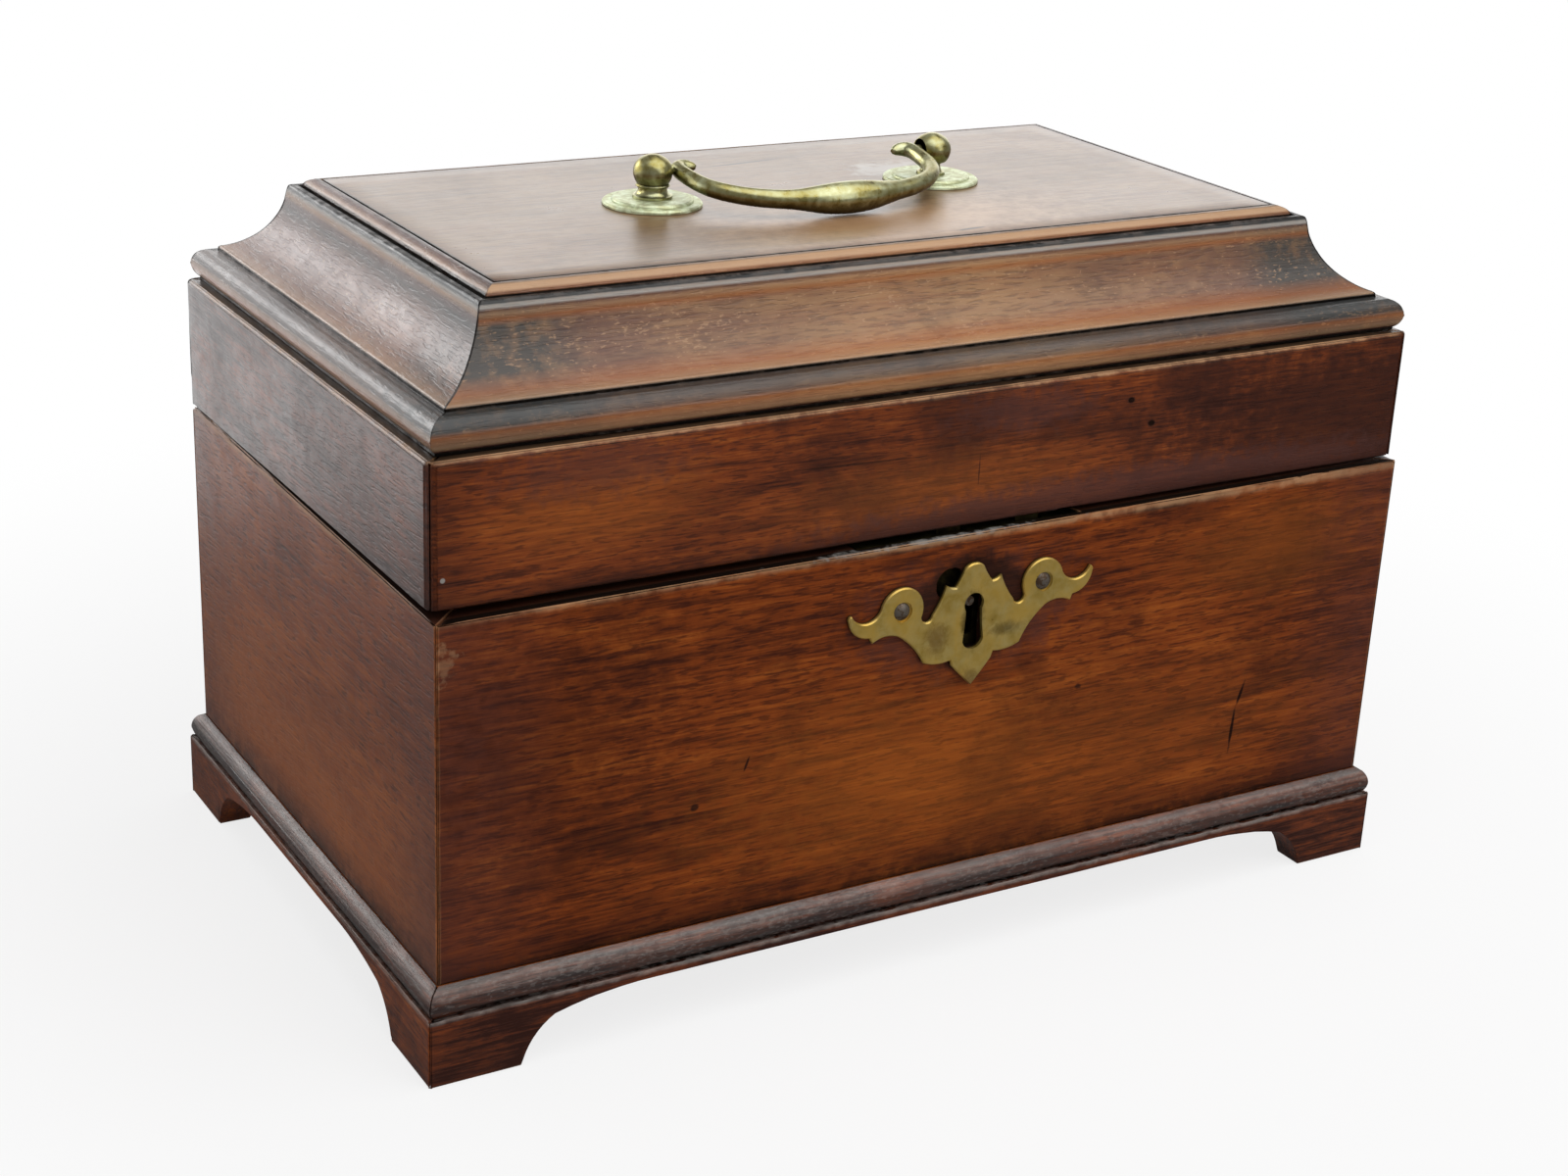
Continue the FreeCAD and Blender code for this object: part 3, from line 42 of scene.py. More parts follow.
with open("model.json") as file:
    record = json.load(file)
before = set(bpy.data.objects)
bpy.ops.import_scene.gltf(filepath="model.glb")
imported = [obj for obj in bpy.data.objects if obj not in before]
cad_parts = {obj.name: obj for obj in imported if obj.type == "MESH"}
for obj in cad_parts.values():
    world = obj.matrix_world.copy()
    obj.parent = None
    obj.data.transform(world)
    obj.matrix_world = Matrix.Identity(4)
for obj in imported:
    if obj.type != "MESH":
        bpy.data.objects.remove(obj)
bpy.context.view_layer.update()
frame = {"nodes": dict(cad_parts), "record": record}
MM = 0.001
BODY = {node: body for body, nodes in frame["record"]["behaviour"]["bodies"].items() for node in nodes}


def color_prop(name, description, default):
    """Colour setting."""
    return bpy.props.FloatVectorProperty(
        name=name, description=description, subtype="COLOR", size=3, min=0, max=1, default=default)


def length_prop(name, description, default):
    """Length setting, in metres."""
    return bpy.props.FloatProperty(
        name=name, description=description, unit="LENGTH", min=0, default=default)


class CaddyWood(bpy.types.PropertyGroup):
    """Colours and wear of the wood."""

    dark: color_prop("Dark wood", "Darkest tone of the mahogany", (0.034, 0.0085, 0.0045))
    middle: color_prop("Middle wood", "Middle tone of the mahogany", (0.200, 0.041, 0.0062))
    light: color_prop("Light wood", "Warm, light tone of the mahogany", (0.37, 0.098, 0.013))
    fade: color_prop("Faded wood", "Sun-bleached tone of the lid", (0.34, 0.20, 0.085))
    plum: color_prop("Plum", "Purple-brown of old thick polish", (0.085, 0.030, 0.023))
    # Also painted as shade on the lower part of the base moulding and in the hollow under the crown's bead.
    haze_and_shade: color_prop("Haze", "Blackened, blue-grey polish", (0.022, 0.025, 0.025))
    worn: color_prop("Worn edge", "Rubbed wood along the edges", (0.50, 0.29, 0.15))
    # Also painted as a warm pool of light low in the middle of the case front.
    amber_and_painted_light: color_prop("Amber", "Thin old polish over pale wood", (0.39, 0.108, 0.012))
    # Also painted as shade: near black in the seam under the lid, in the hollow under the crown's bead, in the
    # groove at the foot of the base moulding and along the edge of the escutcheon.
    grime_and_shade: color_prop("Grime", "Old wax and dirt in the quirks", (0.006, 0.0045, 0.0035))
    # Also painted as sheen: the highlight line on the crown's fillet and the sheen on the upper slope of the base
    # moulding.
    dust_and_sheen: color_prop("Dust", "Grey dust and wax bloom", (0.40, 0.38, 0.35))
    wave: length_prop("Wave", "Unevenness of the faces", 0.12 * MM)
    dent: length_prop("Dent", "Dents along the edges", 0.40 * MM)
    arris: length_prop("Arris", "Rounding of the worn arrises", 0.35 * MM)


class CaddyMetal(bpy.types.PropertyGroup):
    """Colours and wear of the metal."""

    bright: color_prop("Bright brass", "Rubbed brass", (0.51, 0.53, 0.33))
    aged: color_prop("Aged brass", "Dull, tarnished brass", (0.29, 0.25, 0.085))
    gold: color_prop("Golden brass", "Warm brass of the escutcheon", (0.60, 0.37, 0.055))
    # Also the painted shade on what faces down on the brass.
    dark: color_prop("Dark brass", "Brass blackened by dirt", (0.045, 0.034, 0.012))
    black: color_prop("Blackened brass", "Lock parts that never see a cloth", (0.018, 0.013, 0.007))
    verdigris: color_prop("Verdigris", "Pale green bloom on the roses", (0.80, 0.90, 0.62))
    iron: color_prop("Iron", "Dull iron of the screws and pins", (0.17, 0.145, 0.12))
    dent: length_prop("Dent", "Dents in the brass", 0.12 * MM)


class CaddyStage(bpy.types.PropertyGroup):
    """Floor and camera."""

    floor: color_prop("Floor", "Colour of the floor", (0.80, 0.80, 0.80))
    lens: bpy.props.FloatProperty(
        name="Lens", description="Focal length on a 36 mm sensor",
        subtype="DISTANCE_CAMERA", default=59.19, min=1)


# Nodes
def add_node(tree, kind, inputs=None, **settings):
    """New shader node with its settings. An input is a value, or a socket to link."""
    node = tree.nodes.new(kind)
    for key, value in settings.items():
        setattr(node, key, value)
    for key, value in (inputs or {}).items():
        socket = node.inputs[key]
        if isinstance(value, bpy.types.NodeSocket):
            tree.links.new(value, socket)
        else:
            socket.default_value = value
    return node


def tone(color, alpha=1.0):
    """Colour with alpha."""
    return (*color, alpha)


def noise(tree, vector, scale=1.0, detail=2.0, roughness=0.5, distortion=0.0):
    """Noise between 0 and 1. The scale is in waves per metre."""
    return add_node(tree, "ShaderNodeTexNoise", {
        "Vector": vector, "Scale": scale, "Detail": detail, "Roughness": roughness,
        "Distortion": distortion}).outputs["Fac"]


def grain(tree, place, along, lengthwise, across):
    """Coordinates stretched along the run of the grain, in waves per metre."""
    scale = [lengthwise if letter == along else across for letter in "XYZ"]
    return add_node(tree, "ShaderNodeMapping", {"Vector": place, "Scale": scale}).outputs["Vector"]


def remap(tree, value, low, high, to_low=0.0, to_high=1.0, smooth=True):
    """Value carried over from one range to another, and clamped."""
    node = add_node(tree, "ShaderNodeMapRange", {
        "Value": value, "From Min": low, "From Max": high, "To Min": to_low, "To Max": to_high})
    node.interpolation_type = "SMOOTHSTEP" if smooth else "LINEAR"
    return node.outputs["Result"]


def calc(tree, operation, first, second=0.0):
    """One step of arithmetic."""
    return add_node(tree, "ShaderNodeMath", {0: first, 1: second}, operation=operation).outputs["Value"]


def swing(tree, value, reach):
    """Noise centred on zero, times a reach."""
    return calc(tree, "MULTIPLY", calc(tree, "SUBTRACT", value, 0.5), reach)


def blend(tree, share, first, second):
    """Mix of two colours. The share is that of the second."""
    node = add_node(tree, "ShaderNodeMix", {0: share, 6: first, 7: second}, data_type="RGBA")
    return node.outputs[2]


def color_ramp(tree, share, stops):
    """Colours along a value. A stop is (position, colour with alpha)."""
    ramp = add_node(tree, "ShaderNodeValToRGB", {"Fac": share})
    elements = ramp.color_ramp.elements
    elements[0].position, elements[0].color = stops[0]
    elements[1].position, elements[1].color = stops[-1]
    for position, color in stops[1:-1]:
        elements.new(position).color = color
    return ramp


def new_material(name):
    """Material with its node tree and its shader."""
    material = bpy.data.materials.new(name)
    material.use_nodes = True
    tree = material.node_tree
    tree.nodes.clear()
    output = add_node(tree, "ShaderNodeOutputMaterial")
    shader = add_node(tree, "ShaderNodeBsdfPrincipled")
    tree.links.new(shader.outputs["BSDF"], output.inputs["Surface"])
    return material, tree, shader


# Layers of a finish: each takes a tree, coordinates, a fine noise and a colour, and gives a new colour.
def banded(axis, start, stops, ragged=0.25, fold=False, middle=0.0, least=0.5):
    """Bands across a profile. A stop is (millimetres from the start, tone, strength). Folded, the
    distance is measured inwards from the start at both ends, about a middle. Ragged is how far the
    noise shifts the bands, and 1 stands for 2 mm either way. Least is the share of a band that stays
    where it is rubbed thin."""
    def paint(tree, place, grit, color):
        palette = bpy.context.scene.caddy_wood
        level = add_node(tree, "ShaderNodeSeparateXYZ", {0: place}).outputs[axis]
        if fold:
            off_middle = calc(tree, "ABSOLUTE", calc(tree, "SUBTRACT", level, middle))
            level = calc(tree, "SUBTRACT", start, off_middle)
        level = calc(tree, "ADD", level, swing(tree, grit, ragged * 4 * MM))
        span = stops[-1][0]
        origin = 0.0 if fold else start
        share = remap(tree, level, origin, origin + span * MM, smooth=False)
        ramp = color_ramp(tree, share, [
            (distance / span, tone(getattr(palette, name), strength)) for distance, name, strength in stops])
        wear = noise(tree, place, scale=42.0, detail=3, roughness=0.6, distortion=0.5)
        wear = remap(tree, calc(tree, "ADD", grit, wear), 0.75, 1.10, least, 1.0)
        patchy = calc(tree, "MULTIPLY", ramp.outputs["Alpha"], wear)
        return blend(tree, patchy, color, ramp.outputs["Color"])
    return paint


def stained(centre, radii, name, strength, soft=0.5, ragged=0.5, turn=(0, 0, 0)):
    """A stain: an ellipsoid of a tone, in metres, that fades out over its outer share."""
    def paint(tree, place, grit, color):
        palette = bpy.context.scene.caddy_wood
        near = add_node(tree, "ShaderNodeMapping", {
            "Vector": place, "Location": centre, "Rotation": turn, "Scale": radii}, vector_type="TEXTURE")
        reach = add_node(tree, "ShaderNodeVectorMath", {0: near.outputs["Vector"]}, operation="LENGTH")
        reach = calc(tree, "ADD", reach.outputs["Value"], swing(tree, grit, ragged * 2))
        share = remap(tree, reach, 1.0 - soft, 1.0, strength, 0.0)
        return blend(tree, share, color, tone(getattr(palette, name)))
    return paint


def flecked(name, strength, along="X", few=0.64):
    """Small flecks of a tone along the grain. Few is the noise level above which they show."""
    def paint(tree, place, grit, color):
        palette = bpy.context.scene.caddy_wood
        speck = noise(tree, grain(tree, place, along, 700, 1700), detail=2, roughness=0.5, distortion=0.4)
        crowd = noise(tree, grain(tree, place, along, 40, 120), detail=2, roughness=0.5)
        speck = calc(tree, "ADD", speck, swing(tree, crowd, 0.35))
        share = remap(tree, speck, few, few + 0.07, 0.0, strength)
        return blend(tree, share, color, tone(getattr(palette, name)))
    return paint


def facing(way, name, strength, before=None):
    """A tone on the faces that look up (way 1) or down (way -1). With a depth, only before that depth."""
    def paint(tree, place, grit, color):
        palette = bpy.context.scene.caddy_wood
        normal = add_node(tree, "ShaderNodeTexCoord").outputs["Normal"]
        upward = add_node(tree, "ShaderNodeSeparateXYZ", {0: normal}).outputs["Z"]
        share = remap(tree, calc(tree, "MULTIPLY", upward, way), 0.80, 0.97, 0.0, strength)
        if before is not None:
            depth = add_node(tree, "ShaderNodeSeparateXYZ", {0: place}).outputs["Y"]
            share = calc(tree, "MULTIPLY", share, remap(tree, depth, before - 1 * MM, before, 1.0, 0.0))
        return blend(tree, share, color, tone(getattr(palette, name)))
    return paint


def mahogany(name, along, shade=0.5, mottle=0.3, level=0.3, rough=0.42, layers=(), faded=0.0, relief=0.5):
    """Old polished mahogany. The grain runs along X or Y, shade is its lightness, mottle the share
    of dark blotches, level the strength of its reflections, rough their blur, faded the share
    bleached by the sun, relief the unevenness of its polish."""
    wood = bpy.context.scene.caddy_wood
    material, tree, shader = new_material(name)
    place = add_node(tree, "ShaderNodeTexCoord").outputs["Object"]
    figure = noise(tree, grain(tree, place, along, 14, 50), detail=3, roughness=0.5, distortion=1.0)
    streak = noise(tree, grain(tree, place, along, 48, 620), detail=5, roughness=0.62, distortion=0.3)
    fibre = noise(tree, grain(tree, place, along, 75, 2300), detail=3, roughness=0.6, distortion=0.2)
    pore = noise(tree, grain(tree, place, along, 230, 1700), detail=2, roughness=0.5, distortion=0.2)
    cloud = noise(tree, place, scale=34.0, detail=5, roughness=0.6, distortion=0.5)
    grit = noise(tree, place, scale=330.0, detail=4, roughness=0.6)
    light = calc(tree, "ADD", swing(tree, figure, 0.9), swing(tree, streak, 1.2))
    light = calc(tree, "ADD", calc(tree, "ADD", light, shade), swing(tree, grit, 0.35))
    light = calc(tree, "ADD", light, swing(tree, fibre, 0.8))
    color = color_ramp(tree, light, [
        (0.05, tone(wood.dark)), (0.5, tone(wood.middle)), (0.98, tone(wood.light))]).outputs["Color"]
    if faded:
        color = blend(tree, remap(tree, streak, 0.30, 0.62, 0.55 * faded, faded), color, tone(wood.fade))
    dash = remap(tree, pore, 0.51, 0.64)
    color = blend(tree, calc(tree, "MULTIPLY", dash, 0.6 - 0.35 * faded), color, tone(wood.dark))
    color = blend(tree, remap(tree, cloud, 0.48, 0.66, 0.0, mottle), color, tone(wood.dark))
    for layer in layers:
        color = layer(tree, place, grit, color)
    dull = calc(tree, "ADD", swing(tree, grit, 0.5 * relief), rough)
    dull = calc(tree, "ADD", swing(tree, cloud, 0.6 * relief), dull)
    height = calc(tree, "SUBTRACT", calc(tree, "ADD", fibre, swing(tree, grit, 0.8)), dash)
    bump = add_node(tree, "ShaderNodeBump", {"Height": height, "Strength": relief, "Distance": 0.07 * MM})
    tree.links.new(color, shader.inputs["Base Color"])
    tree.links.new(dull, shader.inputs["Roughness"])
    tree.links.new(bump.outputs["Normal"], shader.inputs["Normal"])
    tint = add_node(tree, "ShaderNodeRGBToBW", {0: color}).outputs["Val"]
    tree.links.new(remap(tree, tint, 0.005, 0.018, 0.1 * level, level), shader.inputs["Specular IOR Level"])
    return material


def brass(name, wear, bloom=0.0, rough=0.32, under=0.8, sheen=1.0, tarnish=0.0, gold=0.0, layers=()):
    """Aged brass: wear is the share that has gone dull and dark, bloom that of a green bloom, rough
    the blur of its reflections, under the share of painted shade, darker brass on what faces down, sheen
    its metallic share, tarnish that of black, gold that of a warmer brass. Layers of stains come on top."""
    metal = bpy.context.scene.caddy_metal
    material, tree, shader = new_material(name)
    coordinates = add_node(tree, "ShaderNodeTexCoord")
    place = coordinates.outputs["Object"]
    grit = noise(tree, place, scale=420.0, detail=5, roughness=0.65, distortion=0.4)
    patch = noise(tree, place, scale=110.0, detail=4, roughness=0.6, distortion=0.4)
    scratch = noise(tree, grain(tree, place, "X", 400, 5200), detail=2, roughness=0.5)
    mixed = calc(tree, "ADD", calc(tree, "MULTIPLY", grit, 0.5), calc(tree, "MULTIPLY", patch, 0.5))
    color = color_ramp(tree, calc(tree, "ADD", mixed, 0.5 - wear), [
        (0.28, tone(metal.dark)), (0.44, tone(metal.aged)), (0.66, tone(metal.bright))]).outputs["Color"]
    # Painted shade: what faces down is darkened towards dark brass.
    upward = add_node(tree, "ShaderNodeSeparateXYZ", {0: coordinates.outputs["Normal"]}).outputs["Z"]
    painted_underside_shade = remap(tree, calc(tree, "ADD", upward, swing(tree, grit, 0.8)), -0.55, 0.15, under, 0.0)
    color = blend(tree, painted_underside_shade, color, tone(metal.dark))
    if gold:
        color = blend(tree, remap(tree, patch, 0.35, 0.65, 0.6 * gold, gold), color, tone(metal.gold))
    if tarnish:
        color = blend(tree, tarnish, color, tone(metal.black))
    for layer in layers:
        color = layer(tree, place, grit, color)
    if bloom:
        green = remap(tree, grit, 0.36, 0.60, bloom, 0.25 * bloom)
        color = blend(tree, green, color, tone(metal.verdigris))
        tree.links.new(calc(tree, "SUBTRACT", 1.0, green), shader.inputs["Metallic"])
    else:
        shader.inputs["Metallic"].default_value = sheen
    dull = calc(tree, "ADD", swing(tree, grit, 0.45), rough)
    bump = add_node(tree, "ShaderNodeBump", {
        "Height": calc(tree, "ADD", patch, calc(tree, "MULTIPLY", scratch, 0.12)),
        "Strength": 0.5, "Distance": 0.15 * MM})
    tree.links.new(color, shader.inputs["Base Color"])
    tree.links.new(dull, shader.inputs["Roughness"])
    tree.links.new(bump.outputs["Normal"], shader.inputs["Normal"])
    return material


def iron(name, rust=0.5):
    """Dull iron with brown specks."""
    metal = bpy.context.scene.caddy_metal
    material, tree, shader = new_material(name)
    place = add_node(tree, "ShaderNodeTexCoord").outputs["Object"]
    speck = noise(tree, place, scale=900.0, detail=4, roughness=0.6)
    brown = tone([metal.iron[0] * 0.6, metal.iron[1] * 0.42, metal.iron[2] * 0.30])
    color = blend(tree, remap(tree, speck, 0.62 - 0.3 * rust, 0.70 - 0.2 * rust), tone(metal.iron), brown)
    tree.links.new(color, shader.inputs["Base Color"])
    tree.links.new(remap(tree, speck, 0.35, 0.7, 0.35, 0.65), shader.inputs["Roughness"])
    shader.inputs["Metallic"].default_value = 0.8
    return material


def dress(material, *names):
    """Give CAD nodes a material."""
    for name in names:
        piece = frame["nodes"][name]
        if not piece.material_slots:
            piece.data.materials.append(material)
        for holder in piece.material_slots:
            holder.material = material


# Levels of the profiles, in metres.
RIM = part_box("front_board")[1][2]
CASE_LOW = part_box("front_board")[0][2]
CASE_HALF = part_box("right_board")[1][0]
CASE_DEEP = -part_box("front_board")[0][1]
LID_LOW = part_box("lid_front_board")[0][2]
LID_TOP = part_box("lid_front_board")[1][2]
LID_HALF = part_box("lid_right_board")[1][0]
SKIRT_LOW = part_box("base_moulding_front")[0][2]

# Worn pieces
MERGE = 1e-6  # points closer than this are joined, in metres
FLAT = 0.97  # a normal that has less than this along every axis belongs to an edge
JOIN_ANGLE = math.radians(0.5)  # faces that meet flatter than this become one
ARRIS_ANGLE = math.radians(35)  # edges sharper than this are rounded
SMOOTH_ANGLE = math.radians(32)  # edges flatter than this are shaded smooth
WAVE_SIZE = 40 * MM
DENT_SIZE = 7 * MM

# Crown moulding: levels are in millimetres over its foot.
CROWN_ROWS = (  # rows that are stretched in height: from, to, pivot, factor
    (0.7, 6.4, 0.6, 1.14), (8.05, 20.3, 8.0, 1.074), (21.8, 22.0, 0.0, 1.055), (22.6, 26.1, 26.0, 0.64))
CROWN_RUBBED = (0.9, 25.7)  # levels between which it is rubbed round
CROWN_DRAWN = 0.8  # share of its length that it is drawn out by, while it is rubbed
CROWN_SPARE = 10  # what stays of that past each end, in millimetres
CROWN_STEP, CROWN_RISE = 5 * MM, 0.8 * MM  # cuts along it and up it
CROWN_DENT = 0.4  # its dents, as a share of those in the boards
PANEL_STEP = 6 * MM
PANEL_ARRIS = 0.4  # its rounding, as a share of that of the boards


def pick(piece):
    """Make a piece the only one that is selected."""
    bpy.ops.object.select_all(action="DESELECT")
    piece.select_set(True)
    bpy.context.view_layer.objects.active = piece


def add_clouds(piece, name, size, strength, group):
    """Wear the piece down along its normals, unevenly, and never outwards."""
    texture = bpy.data.textures.new(name, "CLOUDS")
    texture.noise_scale = size
    texture.noise_depth = 2
    wear = piece.modifiers.new(name, "DISPLACE")
    wear.texture = texture
    wear.texture_coords = "LOCAL"
    wear.mid_level = 1.0
    wear.strength = strength
    wear.vertex_group = group
    bpy.ops.object.modifier_apply(modifier=name)


def round_off(piece, width):
    """Wear the sharp arrises round."""
    arris = piece.modifiers.new("arris", "BEVEL")
    arris.width = width
    arris.segments = 2
    arris.limit_method = "ANGLE"
    arris.angle_limit = ARRIS_ANGLE
    arris.use_clamp_overlap = False
    bpy.ops.object.modifier_apply(modifier="arris")


def select_between(piece, low, high):
    """Select the points of a piece between two levels, in edit mode."""
    bpy.ops.mesh.select_all(action="DESELECT")
    bpy.ops.object.mode_set(mode="OBJECT")
    for spot in piece.data.vertices:
        spot.select = low < spot.co.z < high
    bpy.ops.object.mode_set(mode="EDIT")


def start_copy(node):
    """Copy of a CAD node with its faces joined, in edit mode."""
    piece = bpy.data.objects.new(f"{node}_worn", frame["nodes"][node].data.copy())
    bpy.context.collection.objects.link(piece)
    pick(piece)
    bpy.ops.mesh.customdata_custom_splitnormals_clear()
    bpy.ops.object.mode_set(mode="EDIT")
    bpy.ops.mesh.select_all(action="SELECT")
    bpy.ops.mesh.remove_doubles(threshold=MERGE)
    bpy.ops.mesh.dissolve_limited(angle_limit=JOIN_ANGLE)
    return piece


def cut_up(low, high, cuts):
    """Cut the piece in edit mode across an axis, at even steps. A cut is an axis and a step."""
    for axis, step in cuts:
        count = round((high[axis] - low[axis]) / step)
        for index in range(1, count):
            spot = [0.0, 0.0, 0.0]
            spot[axis] = low[axis] + (high[axis] - low[axis]) * index / count
            way = [0.0, 0.0, 0.0]
            way[axis] = 1.0
            bpy.ops.mesh.select_all(action="SELECT")
            bpy.ops.mesh.bisect(plane_co=spot, plane_no=way)


def finish_copy(piece, node, material, wave, dent):
    """Wear the piece unevenly, a low wave all over and dents along the edges, and let it take the
    place of its node. What wear would push out of the node's box, at a mitre, stays as it is."""
    low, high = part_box(node)
    face = piece.vertex_groups.new(name="face")
    edge = piece.vertex_groups.new(name="edge")
    for spot in piece.data.vertices:
        worn = spot.co - spot.normal * (wave + dent)
        if all(low[axis] <= worn[axis] <= high[axis] for axis in range(3)):
            face.add([spot.index], 1.0, "REPLACE")
            if max(abs(share) for share in spot.normal) < FLAT:
                edge.add([spot.index], 1.0, "REPLACE")
    if wave:
        add_clouds(piece, "wave", WAVE_SIZE, wave, "face")
    if dent:
        add_clouds(piece, "dents", DENT_SIZE, dent, "edge")
    bpy.ops.object.mode_set(mode="EDIT")
    bpy.ops.mesh.select_all(action="SELECT")
    bpy.ops.mesh.remove_doubles(threshold=MERGE)
    bpy.ops.mesh.fill_holes(sides=0)
    bpy.ops.object.mode_set(mode="OBJECT")
    piece.vertex_groups.clear()
    piece.data.materials.clear()
    piece.data.materials.append(material)
    bpy.ops.object.shade_smooth_by_angle(angle=SMOOTH_ANGLE)
    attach(piece, BODY[node])
    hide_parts(node)


def worn_copy(node, material, cuts, wave, dent, arris=0.0):
    """Worn copy of a CAD node, with rounded arrises."""
    piece = start_copy(node)
    if arris:
        bpy.ops.object.mode_set(mode="OBJECT")
        round_off(piece, arris)
        bpy.ops.object.mode_set(mode="EDIT")
    cut_up(*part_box(node), cuts)
    bpy.ops.object.mode_set(mode="OBJECT")
    finish_copy(piece, node, material, wave, dent)


def worn_boards(material, *nodes, along, step=5 * MM, rise=8 * MM, edges=1.0):
    """Boards whose grain runs along X or Y. Edges is the share of dents along their edges."""
    wood = bpy.context.scene.caddy_wood
    cuts = (("XY".index(along), step), (2, rise))
    for node in nodes:
        worn_copy(node, material, cuts, wood.wave, wood.dent * edges, wood.arris)


def trim(spot, way):
    """Cut off what lies past a plane, in edit mode, and leave the cut open."""
    bpy.ops.mesh.select_all(action="SELECT")
    bpy.ops.mesh.bisect(plane_co=spot, plane_no=way, clear_outer=True)


def worn_crown(material, node, along, mitres):
    """Crown moulding with its torus filled out and its bead flattened. It is drawn out past its
    mitres, rubbed round along its run, and mitred again. A mitre is a spot and the way out."""
    wood = bpy.context.scene.caddy_wood
    low, high = (Vector(corner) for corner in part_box(node))
    run = "XY".index(along)
    way = Vector([float(axis == run) for axis in range(3)])
    piece = start_copy(node)
    for lower, upper, pivot, stretch in CROWN_ROWS:
        select_between(piece, LID_TOP + lower * MM, LID_TOP + upper * MM)
        bpy.ops.transform.resize(value=(1, 1, stretch), center_override=(0, 0, LID_TOP + pivot * MM))
    bpy.ops.mesh.select_all(action="SELECT")
    bpy.ops.transform.resize(
        value=Vector((1, 1, 1)) + way * CROWN_DRAWN, center_override=(low + high) / 2)
    low -= way * CROWN_SPARE * MM
    high += way * CROWN_SPARE * MM
    trim(low, -way)
    trim(high, way)
    cut_up(low, high, ((run, CROWN_STEP), (2, CROWN_RISE)))
    select_between(piece, *(LID_TOP + level * MM for level in CROWN_RUBBED))
    bpy.ops.mesh.vertices_smooth(factor=0.5, repeat=3, xaxis=run != 0, yaxis=run != 1)
    for spot, out in mitres:
        trim(spot, out)
    bpy.ops.object.mode_set(mode="OBJECT")
    finish_copy(piece, node, material, wood.wave, wood.dent * CROWN_DENT)


# Bands of the profiles: millimetres from the start, tone, strength.
CASE_BANDS = (
    (0.0, "grime_and_shade", 0.9), (0.8, "grime_and_shade", 0.8), (3.0, "dark", 0.6), (9.0, "dark", 0.0), (75.5, "dark", 0.0),
    (76.4, "worn", 0.1), (77.2, "worn", 0.6), (78.4, "worn", 0.7), (79.0, "worn", 0.4))
END_BANDS = (
    (0.0, "worn", 0.15), (0.4, "worn", 0.1), (1.0, "plum", 0.5), (9.0, "plum", 0.4), (28.0, "plum", 0.0))
LID_BANDS = (
    (0.0, "grime_and_shade", 0.8), (0.9, "dark", 0.6), (4.0, "dark", 0.0), (28.2, "dark", 0.0), (28.8, "worn", 0.1),
    (29.2, "worn", 0.7), (29.6, "worn", 0.8))
LID_ENDS = ((0.0, "haze_and_shade", 0.9), (0.5, "haze_and_shade", 0.7), (1.1, "dark", 0.5), (12.0, "dark", 0.0))
# Crown, front and back: quirk, torus, quirk, lip, cove, fillet, hollow, bead. The pale band on the fillet is a
# painted highlight line, and the near black band in the hollow under the bead is a painted shadow line.
CROWN_BANDS = (
    (0.0, "grime_and_shade", 1.0), (0.6, "grime_and_shade", 1.0), (1.1, "plum", 0.8), (1.8, "worn", 0.4), (4.0, "amber_and_painted_light", 0.45),
    (5.0, "haze_and_shade", 0.5), (6.7, "haze_and_shade", 0.8), (7.2, "haze_and_shade", 0.8), (7.35, "grime_and_shade", 1.0), (7.9, "grime_and_shade", 1.0),
    (8.2, "worn", 0.5), (9.2, "amber_and_painted_light", 0.5), (11.5, "amber_and_painted_light", 0.0), (19.2, "amber_and_painted_light", 0.0),
    (20.4, "amber_and_painted_light", 0.5), (21.4, "worn", 0.4), (22.2, "plum", 0.6), (22.7, "dust_and_sheen", 0.9),
    (23.2, "dust_and_sheen", 0.6), (23.4, "haze_and_shade", 1.0), (24.1, "grime_and_shade", 1.0), (24.45, "amber_and_painted_light", 0.3),
    (25.0, "worn", 0.95), (25.7, "worn", 0.9), (26.0, "grime_and_shade", 0.9))
CROWN_ENDS = (
    (0.0, "haze_and_shade", 0.95), (30.0, "haze_and_shade", 0.9), (41.0, "plum", 0.7), (75.0, "plum", 0.4), (105.0, "plum", 0.0))
# Crown, sides: darker and greyer, with the same painted highlight on the fillet and painted shadow in the hollow.
FLANK_BANDS = (
    (0.0, "grime_and_shade", 0.9), (0.7, "grime_and_shade", 0.9), (1.1, "plum", 0.7), (1.8, "worn", 0.4), (3.0, "amber_and_painted_light", 0.6),
    (3.8, "worn", 0.4), (4.8, "haze_and_shade", 0.75), (7.2, "haze_and_shade", 0.7), (7.35, "grime_and_shade", 1.0), (7.9, "grime_and_shade", 0.9),
    (8.2, "worn", 0.45), (10.0, "plum", 0.1), (15.5, "plum", 0.4), (19.0, "haze_and_shade", 0.85),
    (20.8, "plum", 0.8), (21.8, "worn", 0.6), (22.8, "dust_and_sheen", 0.85), (23.2, "haze_and_shade", 1.0),
    (24.1, "grime_and_shade", 1.0), (24.5, "haze_and_shade", 0.6), (25.0, "worn", 0.5), (25.6, "plum", 0.5),
    (26.0, "grime_and_shade", 0.9))
FLANK_ENDS = ((0.0, "haze_and_shade", 0.9), (26.0, "haze_and_shade", 0.75), (42.0, "plum", 0.3), (90.0, "plum", 0.6))
